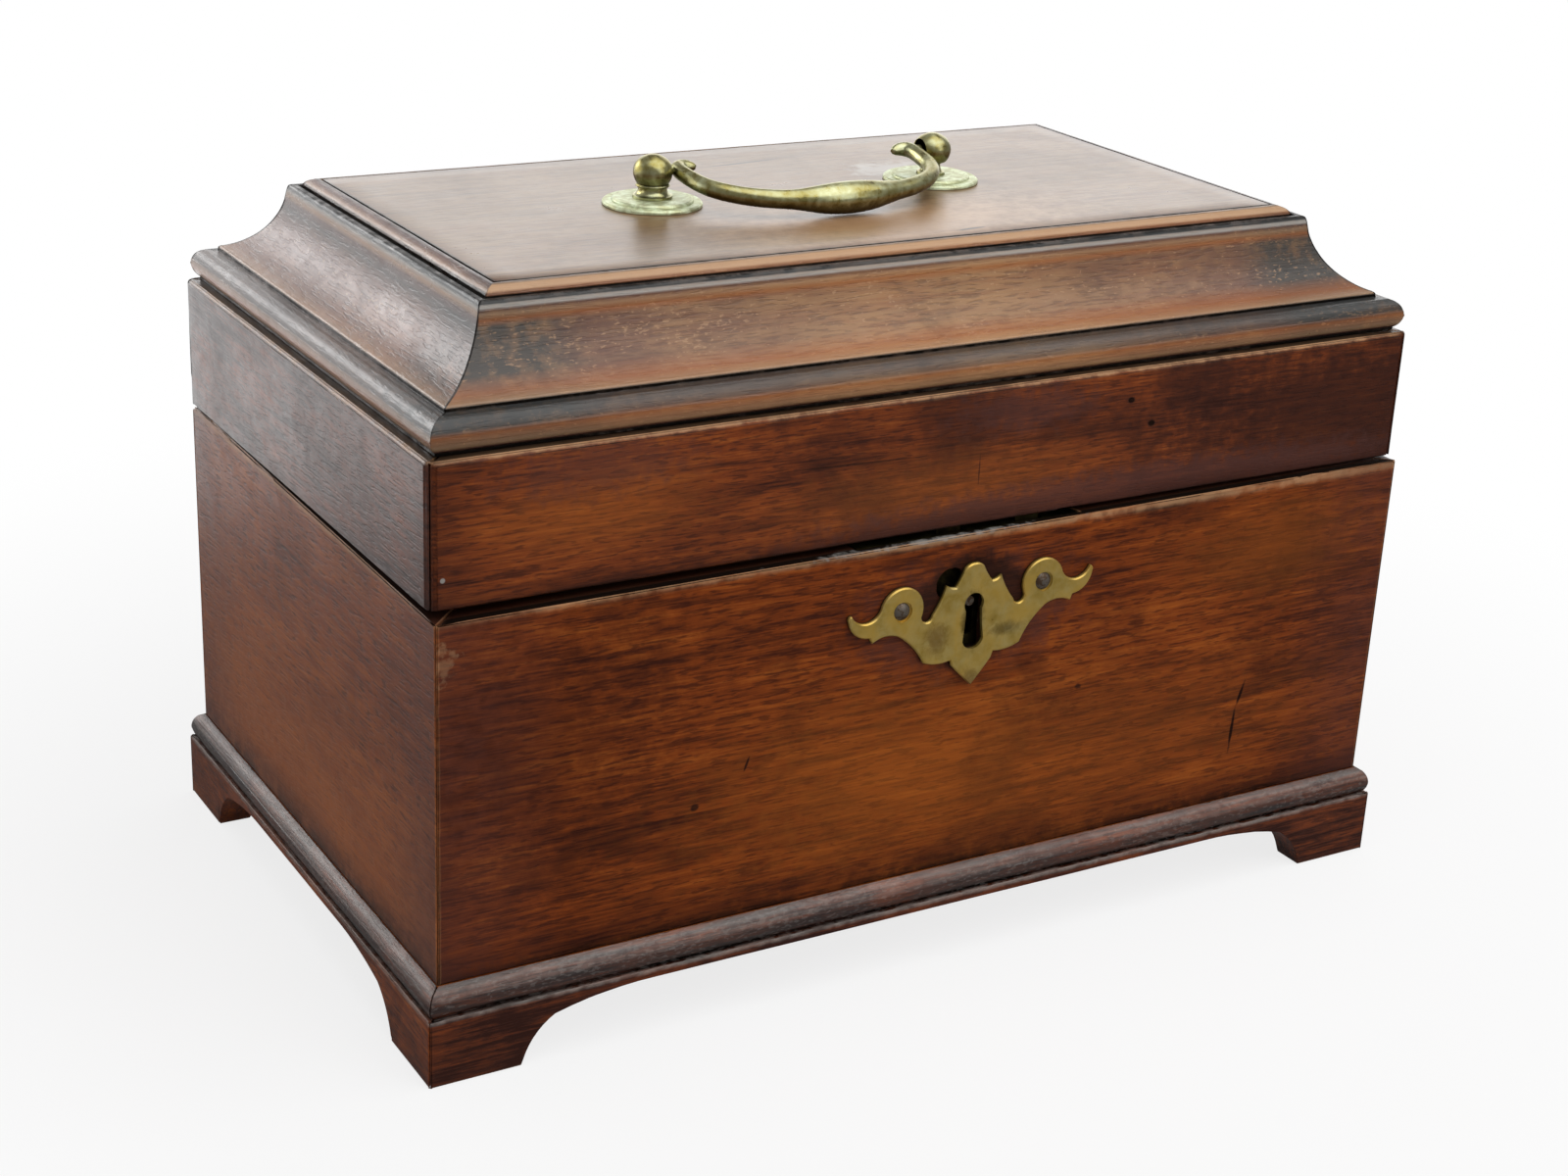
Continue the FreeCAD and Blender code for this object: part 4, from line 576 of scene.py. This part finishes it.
# Base moulding: the near black groove at its foot and the dark band over its lower part are painted shade, and
# the grey bands on its upper slope are painted sheen.
SKIRT_BANDS = (
    (0.0, "grime_and_shade", 1.0), (0.6, "grime_and_shade", 1.0), (1.2, "haze_and_shade", 0.7), (3.4, "haze_and_shade", 0.55), (4.7, "dust_and_sheen", 0.10),
    (5.4, "dust_and_sheen", 0.30), (6.0, "dust_and_sheen", 0.12), (6.2, "grime_and_shade", 0.6), (6.4, "grime_and_shade", 0.9))
PLINTH_BANDS = (
    (0.0, "worn", 0.4), (0.5, "dark", 0.3), (2.0, "dark", 0.0), (13.9, "dark", 0.0), (14.5, "dust_and_sheen", 0.25),
    (15.0, "dust_and_sheen", 0.5), (15.2, "grime_and_shade", 0.5))
SEAM_BANDS = ((0.0, "grime_and_shade", 1.0), (0.35, "grime_and_shade", 0.9), (0.7, "plum", 0.3), (3.0, "plum", 0.0))
# Radius of a stain that goes right through a board, in metres.
DEEP = 0.1


# Operators
class CADDY_OT_case(bpy.types.Operator):
    """Case boards, partitions, bottom and glue blocks"""

    bl_idname = "caddy.case"
    bl_label = "Case"

    def execute(self, context):
        face = -CASE_DEEP
        rim = banded("Z", CASE_LOW, CASE_BANDS)
        ends = banded("X", CASE_HALF, END_BANDS, fold=True)
        side_ends = banded("Y", CASE_DEEP, END_BANDS, fold=True)
        # Painted shade in the seam under the lid: the faces of the boards that look up are darkened, and made
        # near black for the first 3 mm behind the front.
        seam_shade = facing(1, "dark", 0.95)
        front_seam_shade = facing(1, "grime_and_shade", 0.95, before=face + 3 * MM)
        # Painted light: the first two amber stains paint a warm pool of light low in the middle of the front, and
        # the dark stain after them paints shade over its left end.
        marks = (
            stained((0.020, face, 0.040), (0.120, DEEP, 0.034), "amber_and_painted_light", 0.22, soft=0.9),
            stained((-0.020, face, 0.050), (0.060, DEEP, 0.030), "amber_and_painted_light", 0.22, soft=0.9),
            stained((-0.100, face, 0.068), (0.050, DEEP, 0.042), "dark", 0.45, soft=0.9),
            stained((0.085, face, 0.084), (0.045, DEEP, 0.020), "amber_and_painted_light", 0.25, soft=0.9),
            stained((0.0025, face, 0.081), (0.036, DEEP, 0.017), "plum", 0.6, soft=0.6),
            stained((0.0025, face, 0.0815), (0.0165, DEEP, 0.0150), "grime_and_shade", 0.7, soft=0.25, ragged=0.2),
            stained((-0.0508, face, 0.0561), (0.0004, DEEP, 0.0021), "grime_and_shade", 0.85, turn=(0, 0.35, 0)),
            stained((-0.0626, face, 0.0487), (0.0012, DEEP, 0.0010), "grime_and_shade", 0.8),
            stained((0.0330, face, 0.0584), (0.0011, DEEP, 0.0009), "grime_and_shade", 0.7),
            stained((0.0095, face, 0.0731), (0.0030, DEEP, 0.0003), "grime_and_shade", 0.7, turn=(0, -0.5, 0)),
            stained((-0.1175, face, 0.0895), (0.0030, DEEP, 0.0042), "worn", 0.4, soft=0.7, ragged=2.2),
            stained((0.0025, face + 0.005, 0.078), (0.0045, 0.0045, 0.0045), "dust_and_sheen", 0.9, soft=0.3),
            stained((0.0805, face, 0.048), (0.0006, DEEP, 0.0038), "grime_and_shade", 0.9, turn=(0, 0.30, 0)),
            stained((0.0790, face, 0.039), (0.0006, DEEP, 0.0062), "grime_and_shade", 0.9, turn=(0, 0.06, 0)))
        chipped = stained(
            (-0.012, face, RIM - 0.6 * MM), (0.034, 0.0022, 0.0009), "dust_and_sheen", 0.6, soft=0.8, ragged=1.4)
        front = mahogany("front_wood", "X", shade=0.43, mottle=0.5, level=0.06, rough=0.5, layers=(
            *marks, rim, ends, seam_shade, front_seam_shade, chipped))
        worn_boards(front, "front_board", along="X")
        back = mahogany("back_wood", "X", shade=0.42, mottle=0.45, level=0.15, rough=0.5, layers=(
            rim, ends, seam_shade))
        worn_boards(back, "back_board", along="X")
        # Painted light: a warm, lighter patch low across the middle of the side boards.
        glow = stained((0, 0, 0.030), (0.5, 0.15, 0.042), "light", 0.60, soft=0.9)
        side = mahogany("side_wood", "Y", shade=0.62, mottle=0.25, level=0.22, rough=0.42, layers=(
            glow, rim, side_ends, seam_shade))
        worn_boards(side, "left_board", "right_board", along="Y")
        inner = mahogany("inner_wood", "Y", shade=0.5, mottle=0.2, level=0.2)
        dress(inner, "partition_left", "partition_right")
        plain = mahogany("plain_wood", "X", shade=0.72, mottle=0.15, level=0.15, rough=0.7)
        dress(plain, "bottom_board", "foot_block_front_left", "foot_block_front_right",
              "foot_block_back_left", "foot_block_back_right")
        return {"FINISHED"}


class CADDY_OT_foot(bpy.types.Operator):
    """Base moulding and bracket plinth"""

    bl_idname = "caddy.foot"
    bl_label = "Foot"

    def execute(self, context):
        skirt = banded("Z", SKIRT_LOW, SKIRT_BANDS, ragged=0.2)
        ledge = banded("Z", 0.0, PLINTH_BANDS, ragged=0.2)
        for along, sides, level, shade in (
                ("X", ("front", "back"), 0.5, 0.18), ("Y", ("left", "right"), 0.35, 0.48)):
            # The grey dust flecks on the base moulding also paint a mottled sheen.
            strip = mahogany(f"skirt_wood_{along}", along, shade=0.20, mottle=0.5, level=level, rough=0.40,
                             layers=(skirt, flecked("dust_and_sheen", 0.12, along, few=0.56)))
            worn_boards(strip, *(f"base_moulding_{side}" for side in sides), along=along, edges=0.5)
            plinth = mahogany(f"plinth_wood_{along}", along, shade=shade, mottle=0.5, level=0.20, rough=0.5,
                              layers=(ledge,))
            worn_boards(plinth, *(f"plinth_{side}" for side in sides), along=along)
        return {"FINISHED"}


class CADDY_OT_lid(bpy.types.Operator):
    """Rim boards of the lid"""

    bl_idname = "caddy.lid"
    bl_label = "Lid"

    def execute(self, context):
        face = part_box("lid_front_board")[0][1]
        rim = banded("Z", LID_LOW, LID_BANDS)
        ends = banded("X", LID_HALF, LID_ENDS, fold=True)
        side_ends = banded("Y", -face, LID_ENDS, fold=True)
        # Painted shade in the seam over the case: the faces of the lid that look down are darkened.
        seam_shade = facing(-1, "dark", 0.95)
        ledge = facing(1, "grime_and_shade", 0.85)
        marks = (
            stained((-0.005, face, 0.109), (0.060, DEEP, 0.013), "amber_and_painted_light", 0.25, soft=0.9),
            stained((-0.085, face, 0.116), (0.035, DEEP, 0.012), "amber_and_painted_light", 0.28, soft=0.9),
            stained((0.100, face, 0.114), (0.070, DEEP, 0.026), "dark", 0.8, soft=0.8),
            stained((0.050, face, 0.100), (0.110, DEEP, 0.010), "plum", 0.75, soft=0.5),
            stained((-0.085, face, 0.125), (0.030, DEEP, 0.009), "plum", 0.5, soft=0.8, ragged=0.8),
            stained((0.015, face, 0.124), (0.026, DEEP, 0.007), "plum", 0.6, soft=0.8, ragged=0.9),
            stained((-0.026, face, 0.1175), (0.022, DEEP, 0.0003), "grime_and_shade", 0.6, turn=(0, 0.03, 0)),
            stained((0.0035, face, 0.1120), (0.00025, DEEP, 0.0042), "grime_and_shade", 0.6),
            stained((0.0479, face, 0.1169), (0.0013, DEEP, 0.0010), "grime_and_shade", 0.9),
            stained((0.0419, face, 0.1229), (0.0012, DEEP, 0.0009), "grime_and_shade", 0.9),
            stained((-0.117, face, 0.1064), (0.0006, DEEP, 0.0006), "dust_and_sheen", 1.0, soft=0.3, ragged=0.1))
        front = mahogany("lid_front_wood", "X", shade=0.40, mottle=0.65, level=0.16, rough=0.45, layers=(
            *marks, rim, ends, seam_shade, ledge))
        worn_boards(front, "lid_front_board", along="X")
        back = mahogany("lid_back_wood", "X", shade=0.42, mottle=0.5, level=0.2, rough=0.45, layers=(
            rim, ends, seam_shade, ledge))
        worn_boards(back, "lid_back_board", along="X")
        side = mahogany("lid_side_wood", "Y", shade=0.22, mottle=0.5, level=0.5, rough=0.36, layers=(
            rim, side_ends, seam_shade, facing(1, "grime_and_shade", 0.7)))
        worn_boards(side, "lid_left_board", "lid_right_board", along="Y")
        return {"FINISHED"}


class CADDY_OT_crown(bpy.types.Operator):
    """Crown moulding of the lid"""

    bl_idname = "caddy.crown"
    bl_label = "Crown"

    def execute(self, context):
        fronts = {"front": (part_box("lid_front_board")[0][1], -1), "back": (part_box("lid_back_board")[1][1], 1)}
        flanks = {"left": (-LID_HALF, -1), "right": (LID_HALF, 1)}
        inset = 12 * MM
        mitres = [
            stained((side - out * inset, depth - way * inset, LID_TOP), (0.018, 0.35 * MM, DEEP), "grime_and_shade", 0.9,
                    ragged=0.15, turn=(0, 0, out * way * math.pi / 4))
            for side, out in flanks.values() for depth, way in fronts.values()]
        dark_ends = banded("X", LID_HALF, CROWN_ENDS, fold=True)
        bands = banded("Z", LID_TOP, CROWN_BANDS, ragged=0.03, least=0.9)
        along = mahogany("crown_wood_X", "X", shade=0.60, mottle=0.35, level=0.45, rough=0.36, faded=0.75,
                         layers=(dark_ends, flecked("worn", 0.4), bands, *mitres))
        for name, (depth, way) in fronts.items():
            worn_crown(along, f"lid_moulding_{name}", "X", [
                ((side, depth, 0), (out, -way, 0)) for side, out in flanks.values()])
        dark_end = banded("Y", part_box("lid_moulding_front")[0][1], FLANK_ENDS)
        bands = banded("Z", LID_TOP, FLANK_BANDS, ragged=0.03, least=0.9)
        across = mahogany("crown_wood_Y", "Y", shade=0.45, mottle=0.5, level=0.5, rough=0.33, faded=0.3,
                          layers=(dark_end, flecked("worn", 0.4, "Y"), bands, *mitres))
        for name, (side, out) in flanks.items():
            worn_crown(across, f"lid_moulding_{name}", "Y", [
                ((side, depth, 0), (-out, way, 0)) for depth, way in fronts.values()])
        return {"FINISHED"}


class CADDY_OT_panel(bpy.types.Operator):
    """Top panel and the ground board under it"""

    bl_idname = "caddy.panel"
    bl_label = "Panel"

    def execute(self, context):
        wood = context.scene.caddy_wood
        low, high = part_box("lid_top_panel")
        top = high[2]
        middle = (high[1] + low[1]) / 2
        marks = (
            stained((0.0, 0.0, top), (0.3, 0.3, DEEP), "haze_and_shade", 0.35, soft=0.3, ragged=0.1),
            stained((0.005, -0.030, top), (0.060, 0.030, DEEP), "worn", 0.55, soft=0.9),
            stained((0.0015, 0.0318, top), (0.0135, 0.0008, DEEP), "grime_and_shade", 0.85, soft=0.6, ragged=0.3,
                    turn=(0, 0, 0.12)),
            stained((0.0166, -0.0410, top), (0.0050, 0.0007, DEEP), "grime_and_shade", 0.85, turn=(0, 0, 0.1)),
            stained((0.0309, 0.0152, top), (0.013, 0.009, DEEP), "dust_and_sheen", 0.6, soft=0.7, ragged=0.8))
        seams = (
            banded("X", high[0], SEAM_BANDS, ragged=0.08, fold=True, least=0.8),
            banded("Y", (high[1] - low[1]) / 2, SEAM_BANDS, ragged=0.08, fold=True, middle=middle, least=0.8))
        panel = mahogany("panel_wood", "X", shade=0.40, mottle=0.2, level=0.5, rough=0.30, faded=0.85,
                         relief=0.15, layers=(*marks, *seams))
        cuts = ((0, PANEL_STEP), (1, PANEL_STEP))
        worn_copy("lid_top_panel", panel, cuts, wood.wave, 0.0, wood.arris * PANEL_ARRIS)
        ground = mahogany("ground_wood", "X", shade=0.7, mottle=0.15, level=0.15, rough=0.7)
        dress(ground, "lid_ground_board")
        return {"FINISHED"}


class CADDY_OT_handle(bpy.types.Operator):
    """Bail, posts, roses and nuts"""

    bl_idname = "caddy.handle"
    bl_label = "Handle"

    def execute(self, context):
        dent = context.scene.caddy_metal.dent
        grip = brass("bail_brass", wear=0.50)
        worn_copy("bail_handle", grip, (), 0.0, dent)
        post = brass("post_brass", wear=0.52)
        rose = brass("rose_brass", wear=0.5, bloom=0.85, rough=0.45)
        for side in ("left", "right"):
            worn_copy(f"handle_post_{side}", post, (), 0.0, dent)
            worn_copy(f"handle_rose_{side}", rose, (), 0.0, dent)
        dress(brass("nut_brass", wear=0.6), "handle_nuts")
        return {"FINISHED"}


class CADDY_OT_escutcheon(bpy.types.Operator):
    """Bat-wing escutcheon and its pins"""

    bl_idname = "caddy.escutcheon"
    bl_label = "Escutcheon"

    def execute(self, context):
        (left, face, foot), (right, back, _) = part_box("escutcheon")
        middle = (left + right) / 2
        wing = 9 * MM
        dirt_and_shade = (
            stained((middle + wing, face, 0.0765), (0.0070, DEEP, 0.0022), "grime_and_shade", 0.55, soft=0.9, ragged=0.8),
            stained((middle - wing, face, 0.0770), (0.0040, DEEP, 0.0050), "plum", 0.45, soft=0.9, ragged=0.8),
            stained((middle, face, foot), (0.0050, DEEP, 0.0050), "plum", 0.6, soft=0.9, ragged=0.6),
            stained((middle, face, 0.0800), (0.0034, DEEP, 0.0082), "grime_and_shade", 0.7, ragged=0.4),
            # Painted shade: the edge of the plate is darkened where it meets the board.
            stained((middle, back, 0.0800), (DEEP, 0.55 * MM, DEEP), "grime_and_shade", 0.9, soft=0.4, ragged=0.1))
        plate = brass("plate_brass", wear=0.46, rough=0.38, under=0.2, sheen=0.7, gold=0.9, layers=dirt_and_shade)
        dress(plate, "escutcheon")
        dress(iron("pin_iron"), "escutcheon_pins")
        return {"FINISHED"}


class CADDY_OT_lock(bpy.types.Operator):
    """Lock, bolt, link plate and their screws"""

    bl_idname = "caddy.lock"
    bl_label = "Lock"

    def execute(self, context):
        works = brass("lock_brass", wear=0.62, rough=0.5, tarnish=0.85)
        dress(works, "lock_case", "lock_plate", "lock_bolt", "lock_link_plate")
        dress(iron("lock_iron"), "lock_drill_pin", "lock_spring", "lock_screws", "link_plate_screws")
        return {"FINISHED"}


class CADDY_OT_hinges(bpy.types.Operator):
    """Butt hinges and their screws"""

    bl_idname = "caddy.hinges"
    bl_label = "Hinges"

    def execute(self, context):
        leaves = brass("hinge_brass", wear=0.55, rough=0.42)
        dress(leaves, "hinge_leaf_case_left", "hinge_leaf_case_right", "hinge_leaf_lid_left",
              "hinge_leaf_lid_right", "hinge_pin_left", "hinge_pin_right")
        dress(iron("hinge_iron"), "hinge_screws_case", "hinge_screws_lid")
        return {"FINISHED"}


# Camera: where it stands in metres, the way it looks in degrees, its sensor in millimetres.
CAMERA_SPOT = (-0.292697, -0.485960, 0.284809)
CAMERA_AZIMUTH = -30.98355
CAMERA_ELEVATION = 21.53407
CAMERA_ROLL = 2.68241
CAMERA_SENSOR = 36.0
CAMERA_CLIP = (0.01, 50.0)
# Lamps: name, where it stands, what it faces, its width and height, its radiance, and whether it is a card.
LAMPS = (
    ("top_softbox", (0.20, -0.30, 1.15), (0, 0, 0.1), (1.5, 1.3), 2.0, False),
    ("back_card", (0.70, 1.02, 0.46), (0, 0, 0.15), (1.3, 0.8), 1.8, True),
    ("window_card", (-0.62, 1.08, 0.62), (0, 0, 0.14), (0.6, 0.5), 4.3, True),
    ("left_card", (-0.26, 0.22, 0.17), (0.0, -0.21, 0.17), (0.5, 0.34), 1.7, True),
    ("front_fill", (0.5, -1.1, 0.75), (0, 0, 0.08), (0.8, 0.8), 1.3, False))
# Floor: how much of the shadow is lit away, from near the caddy to far from it, in metres.
FLOOR_SIZE = 10.0
FLOOR_NEAR, FLOOR_FAR = 0.16, 0.36
FLOOR_LIT = 0.80
MIRRORED_FLOOR = 0.25  # brightness of the floor in reflections
SKY = 0.30  # brightness of the surroundings, as the caddy sees them
WHITE = (1, 1, 1, 1)


def add_floor(color):
    """White floor that keeps a soft shadow near the caddy."""
    bpy.ops.object.select_all(action="DESELECT")
    bpy.ops.mesh.primitive_plane_add(size=FLOOR_SIZE)
    floor = bpy.context.object
    floor.name = "floor"
    material, tree, shader = new_material("floor_paper")
    shader.inputs["Base Color"].default_value = tone(color)
    shader.inputs["Roughness"].default_value = 0.9
    path = add_node(tree, "ShaderNodeLightPath")
    seen = calc(tree, "MAXIMUM", path.outputs["Is Camera Ray"], path.outputs["Is Transmission Ray"])
    mirrored = path.outputs["Is Glossy Ray"]
    place = add_node(tree, "ShaderNodeTexCoord").outputs["Object"]
    reach = add_node(tree, "ShaderNodeVectorMath", {0: place}, operation="LENGTH").outputs["Value"]
    plain = remap(tree, reach, FLOOR_NEAR, FLOOR_FAR, FLOOR_LIT, 1.0)
    share = calc(tree, "ADD", calc(tree, "MULTIPLY", seen, plain), mirrored)
    strength = calc(tree, "ADD", seen, calc(tree, "MULTIPLY", mirrored, MIRRORED_FLOOR))
    paper = add_node(tree, "ShaderNodeEmission", {"Color": WHITE, "Strength": strength})
    mixed = add_node(tree, "ShaderNodeMixShader", {
        0: share, 1: shader.outputs["BSDF"], 2: paper.outputs["Emission"]})
    output = next(node for node in tree.nodes if node.type == "OUTPUT_MATERIAL")
    tree.links.new(mixed.outputs["Shader"], output.inputs["Surface"])
    floor.data.materials.append(material)


def add_world():
    """Surroundings: white to the camera, dimmer to the caddy."""
    world = bpy.data.worlds.new("studio")
    bpy.context.scene.world = world
    world.use_nodes = True
    tree = world.node_tree
    tree.nodes.clear()
    path = add_node(tree, "ShaderNodeLightPath")
    glow = remap(tree, path.outputs["Is Camera Ray"], 0, 1, SKY, 1.0, smooth=False)
    background = add_node(tree, "ShaderNodeBackground", {"Color": WHITE, "Strength": glow})
    output = add_node(tree, "ShaderNodeOutputWorld")
    tree.links.new(background.outputs["Background"], output.inputs["Surface"])


def add_lamp(name, spot, target, size, radiance, card):
    """Softbox: a rectangular lamp that faces a target, with the same radiance all over. A card only
    shows in reflections."""
    bpy.ops.object.light_add(type="AREA", location=spot)
    lamp = bpy.context.object
    lamp.name = name
    lamp.data.shape = "RECTANGLE"
    lamp.data.size, lamp.data.size_y = size
    lamp.data.energy = radiance * math.pi * size[0] * size[1]
    lamp.rotation_euler = (Vector(target) - Vector(spot)).to_track_quat("-Z", "Y").to_euler()
    lamp.visible_camera = False
    lamp.visible_diffuse = not card


def aim_camera(camera):
    """Set the camera up as the photograph was taken."""
    azimuth, elevation, roll = (
        math.radians(angle) for angle in (CAMERA_AZIMUTH, CAMERA_ELEVATION, CAMERA_ROLL))
    back = Vector((math.sin(azimuth) * math.cos(elevation), -math.cos(azimuth) * math.cos(elevation),
                   math.sin(elevation)))
    right = Vector((math.cos(azimuth), math.sin(azimuth), 0))
    up = back.cross(right)
    turned_right = right * math.cos(roll) + up * math.sin(roll)
    turned_up = up * math.cos(roll) - right * math.sin(roll)
    axes = Matrix((turned_right, turned_up, back)).transposed()
    camera.matrix_world = Matrix.Translation(CAMERA_SPOT) @ axes.to_4x4()


def add_camera(lens):
    """Camera of the scene."""
    bpy.ops.object.camera_add()
    camera = bpy.context.object
    camera.name = "camera"
    camera.data.sensor_width = CAMERA_SENSOR
    camera.data.lens = lens
    camera.data.clip_start, camera.data.clip_end = CAMERA_CLIP
    aim_camera(camera)
    bpy.context.scene.camera = camera


class CADDY_OT_stage(bpy.types.Operator):
    """Floor, lamps and camera"""

    bl_idname = "caddy.stage"
    bl_label = "Stage"

    def execute(self, context):
        settings = context.scene.caddy_stage
        add_floor(settings.floor)
        add_world()
        for lamp in LAMPS:
            add_lamp(*lamp)
        add_camera(settings.lens)
        context.scene.view_settings.view_transform = "Standard"
        return {"FINISHED"}


class CADDY_PT_panel(bpy.types.Panel):
    """Steps that dress the tea caddy"""

    bl_label = "Tea caddy"
    bl_idname = "CADDY_PT_panel"
    bl_space_type = "VIEW_3D"
    bl_region_type = "UI"
    bl_category = "Tea caddy"

    def draw(self, context):
        for step in STEPS:
            self.layout.operator(step.bl_idname)


STEPS = (CADDY_OT_case, CADDY_OT_foot, CADDY_OT_lid, CADDY_OT_crown, CADDY_OT_panel, CADDY_OT_handle,
         CADDY_OT_escutcheon, CADDY_OT_lock, CADDY_OT_hinges, CADDY_OT_stage)
GROUPS = {"caddy_wood": CaddyWood, "caddy_metal": CaddyMetal, "caddy_stage": CaddyStage}


def register():
    for kind in (*GROUPS.values(), *STEPS, CADDY_PT_panel):
        bpy.utils.register_class(kind)
    for name, kind in GROUPS.items():
        setattr(bpy.types.Scene, name, bpy.props.PointerProperty(type=kind))


def unregister():
    for name in GROUPS:
        delattr(bpy.types.Scene, name)
    for kind in (CADDY_PT_panel, *reversed(STEPS), *GROUPS.values()):
        bpy.utils.unregister_class(kind)


def main():
    register()
    bpy.ops.caddy.case()
    bpy.ops.caddy.foot()
    bpy.ops.caddy.lid()
    bpy.ops.caddy.crown()
    bpy.ops.caddy.panel()
    bpy.ops.caddy.handle()
    bpy.ops.caddy.escutcheon()
    bpy.ops.caddy.lock()
    bpy.ops.caddy.hinges()
    bpy.ops.caddy.stage()


if __name__ == "__main__":
    main()
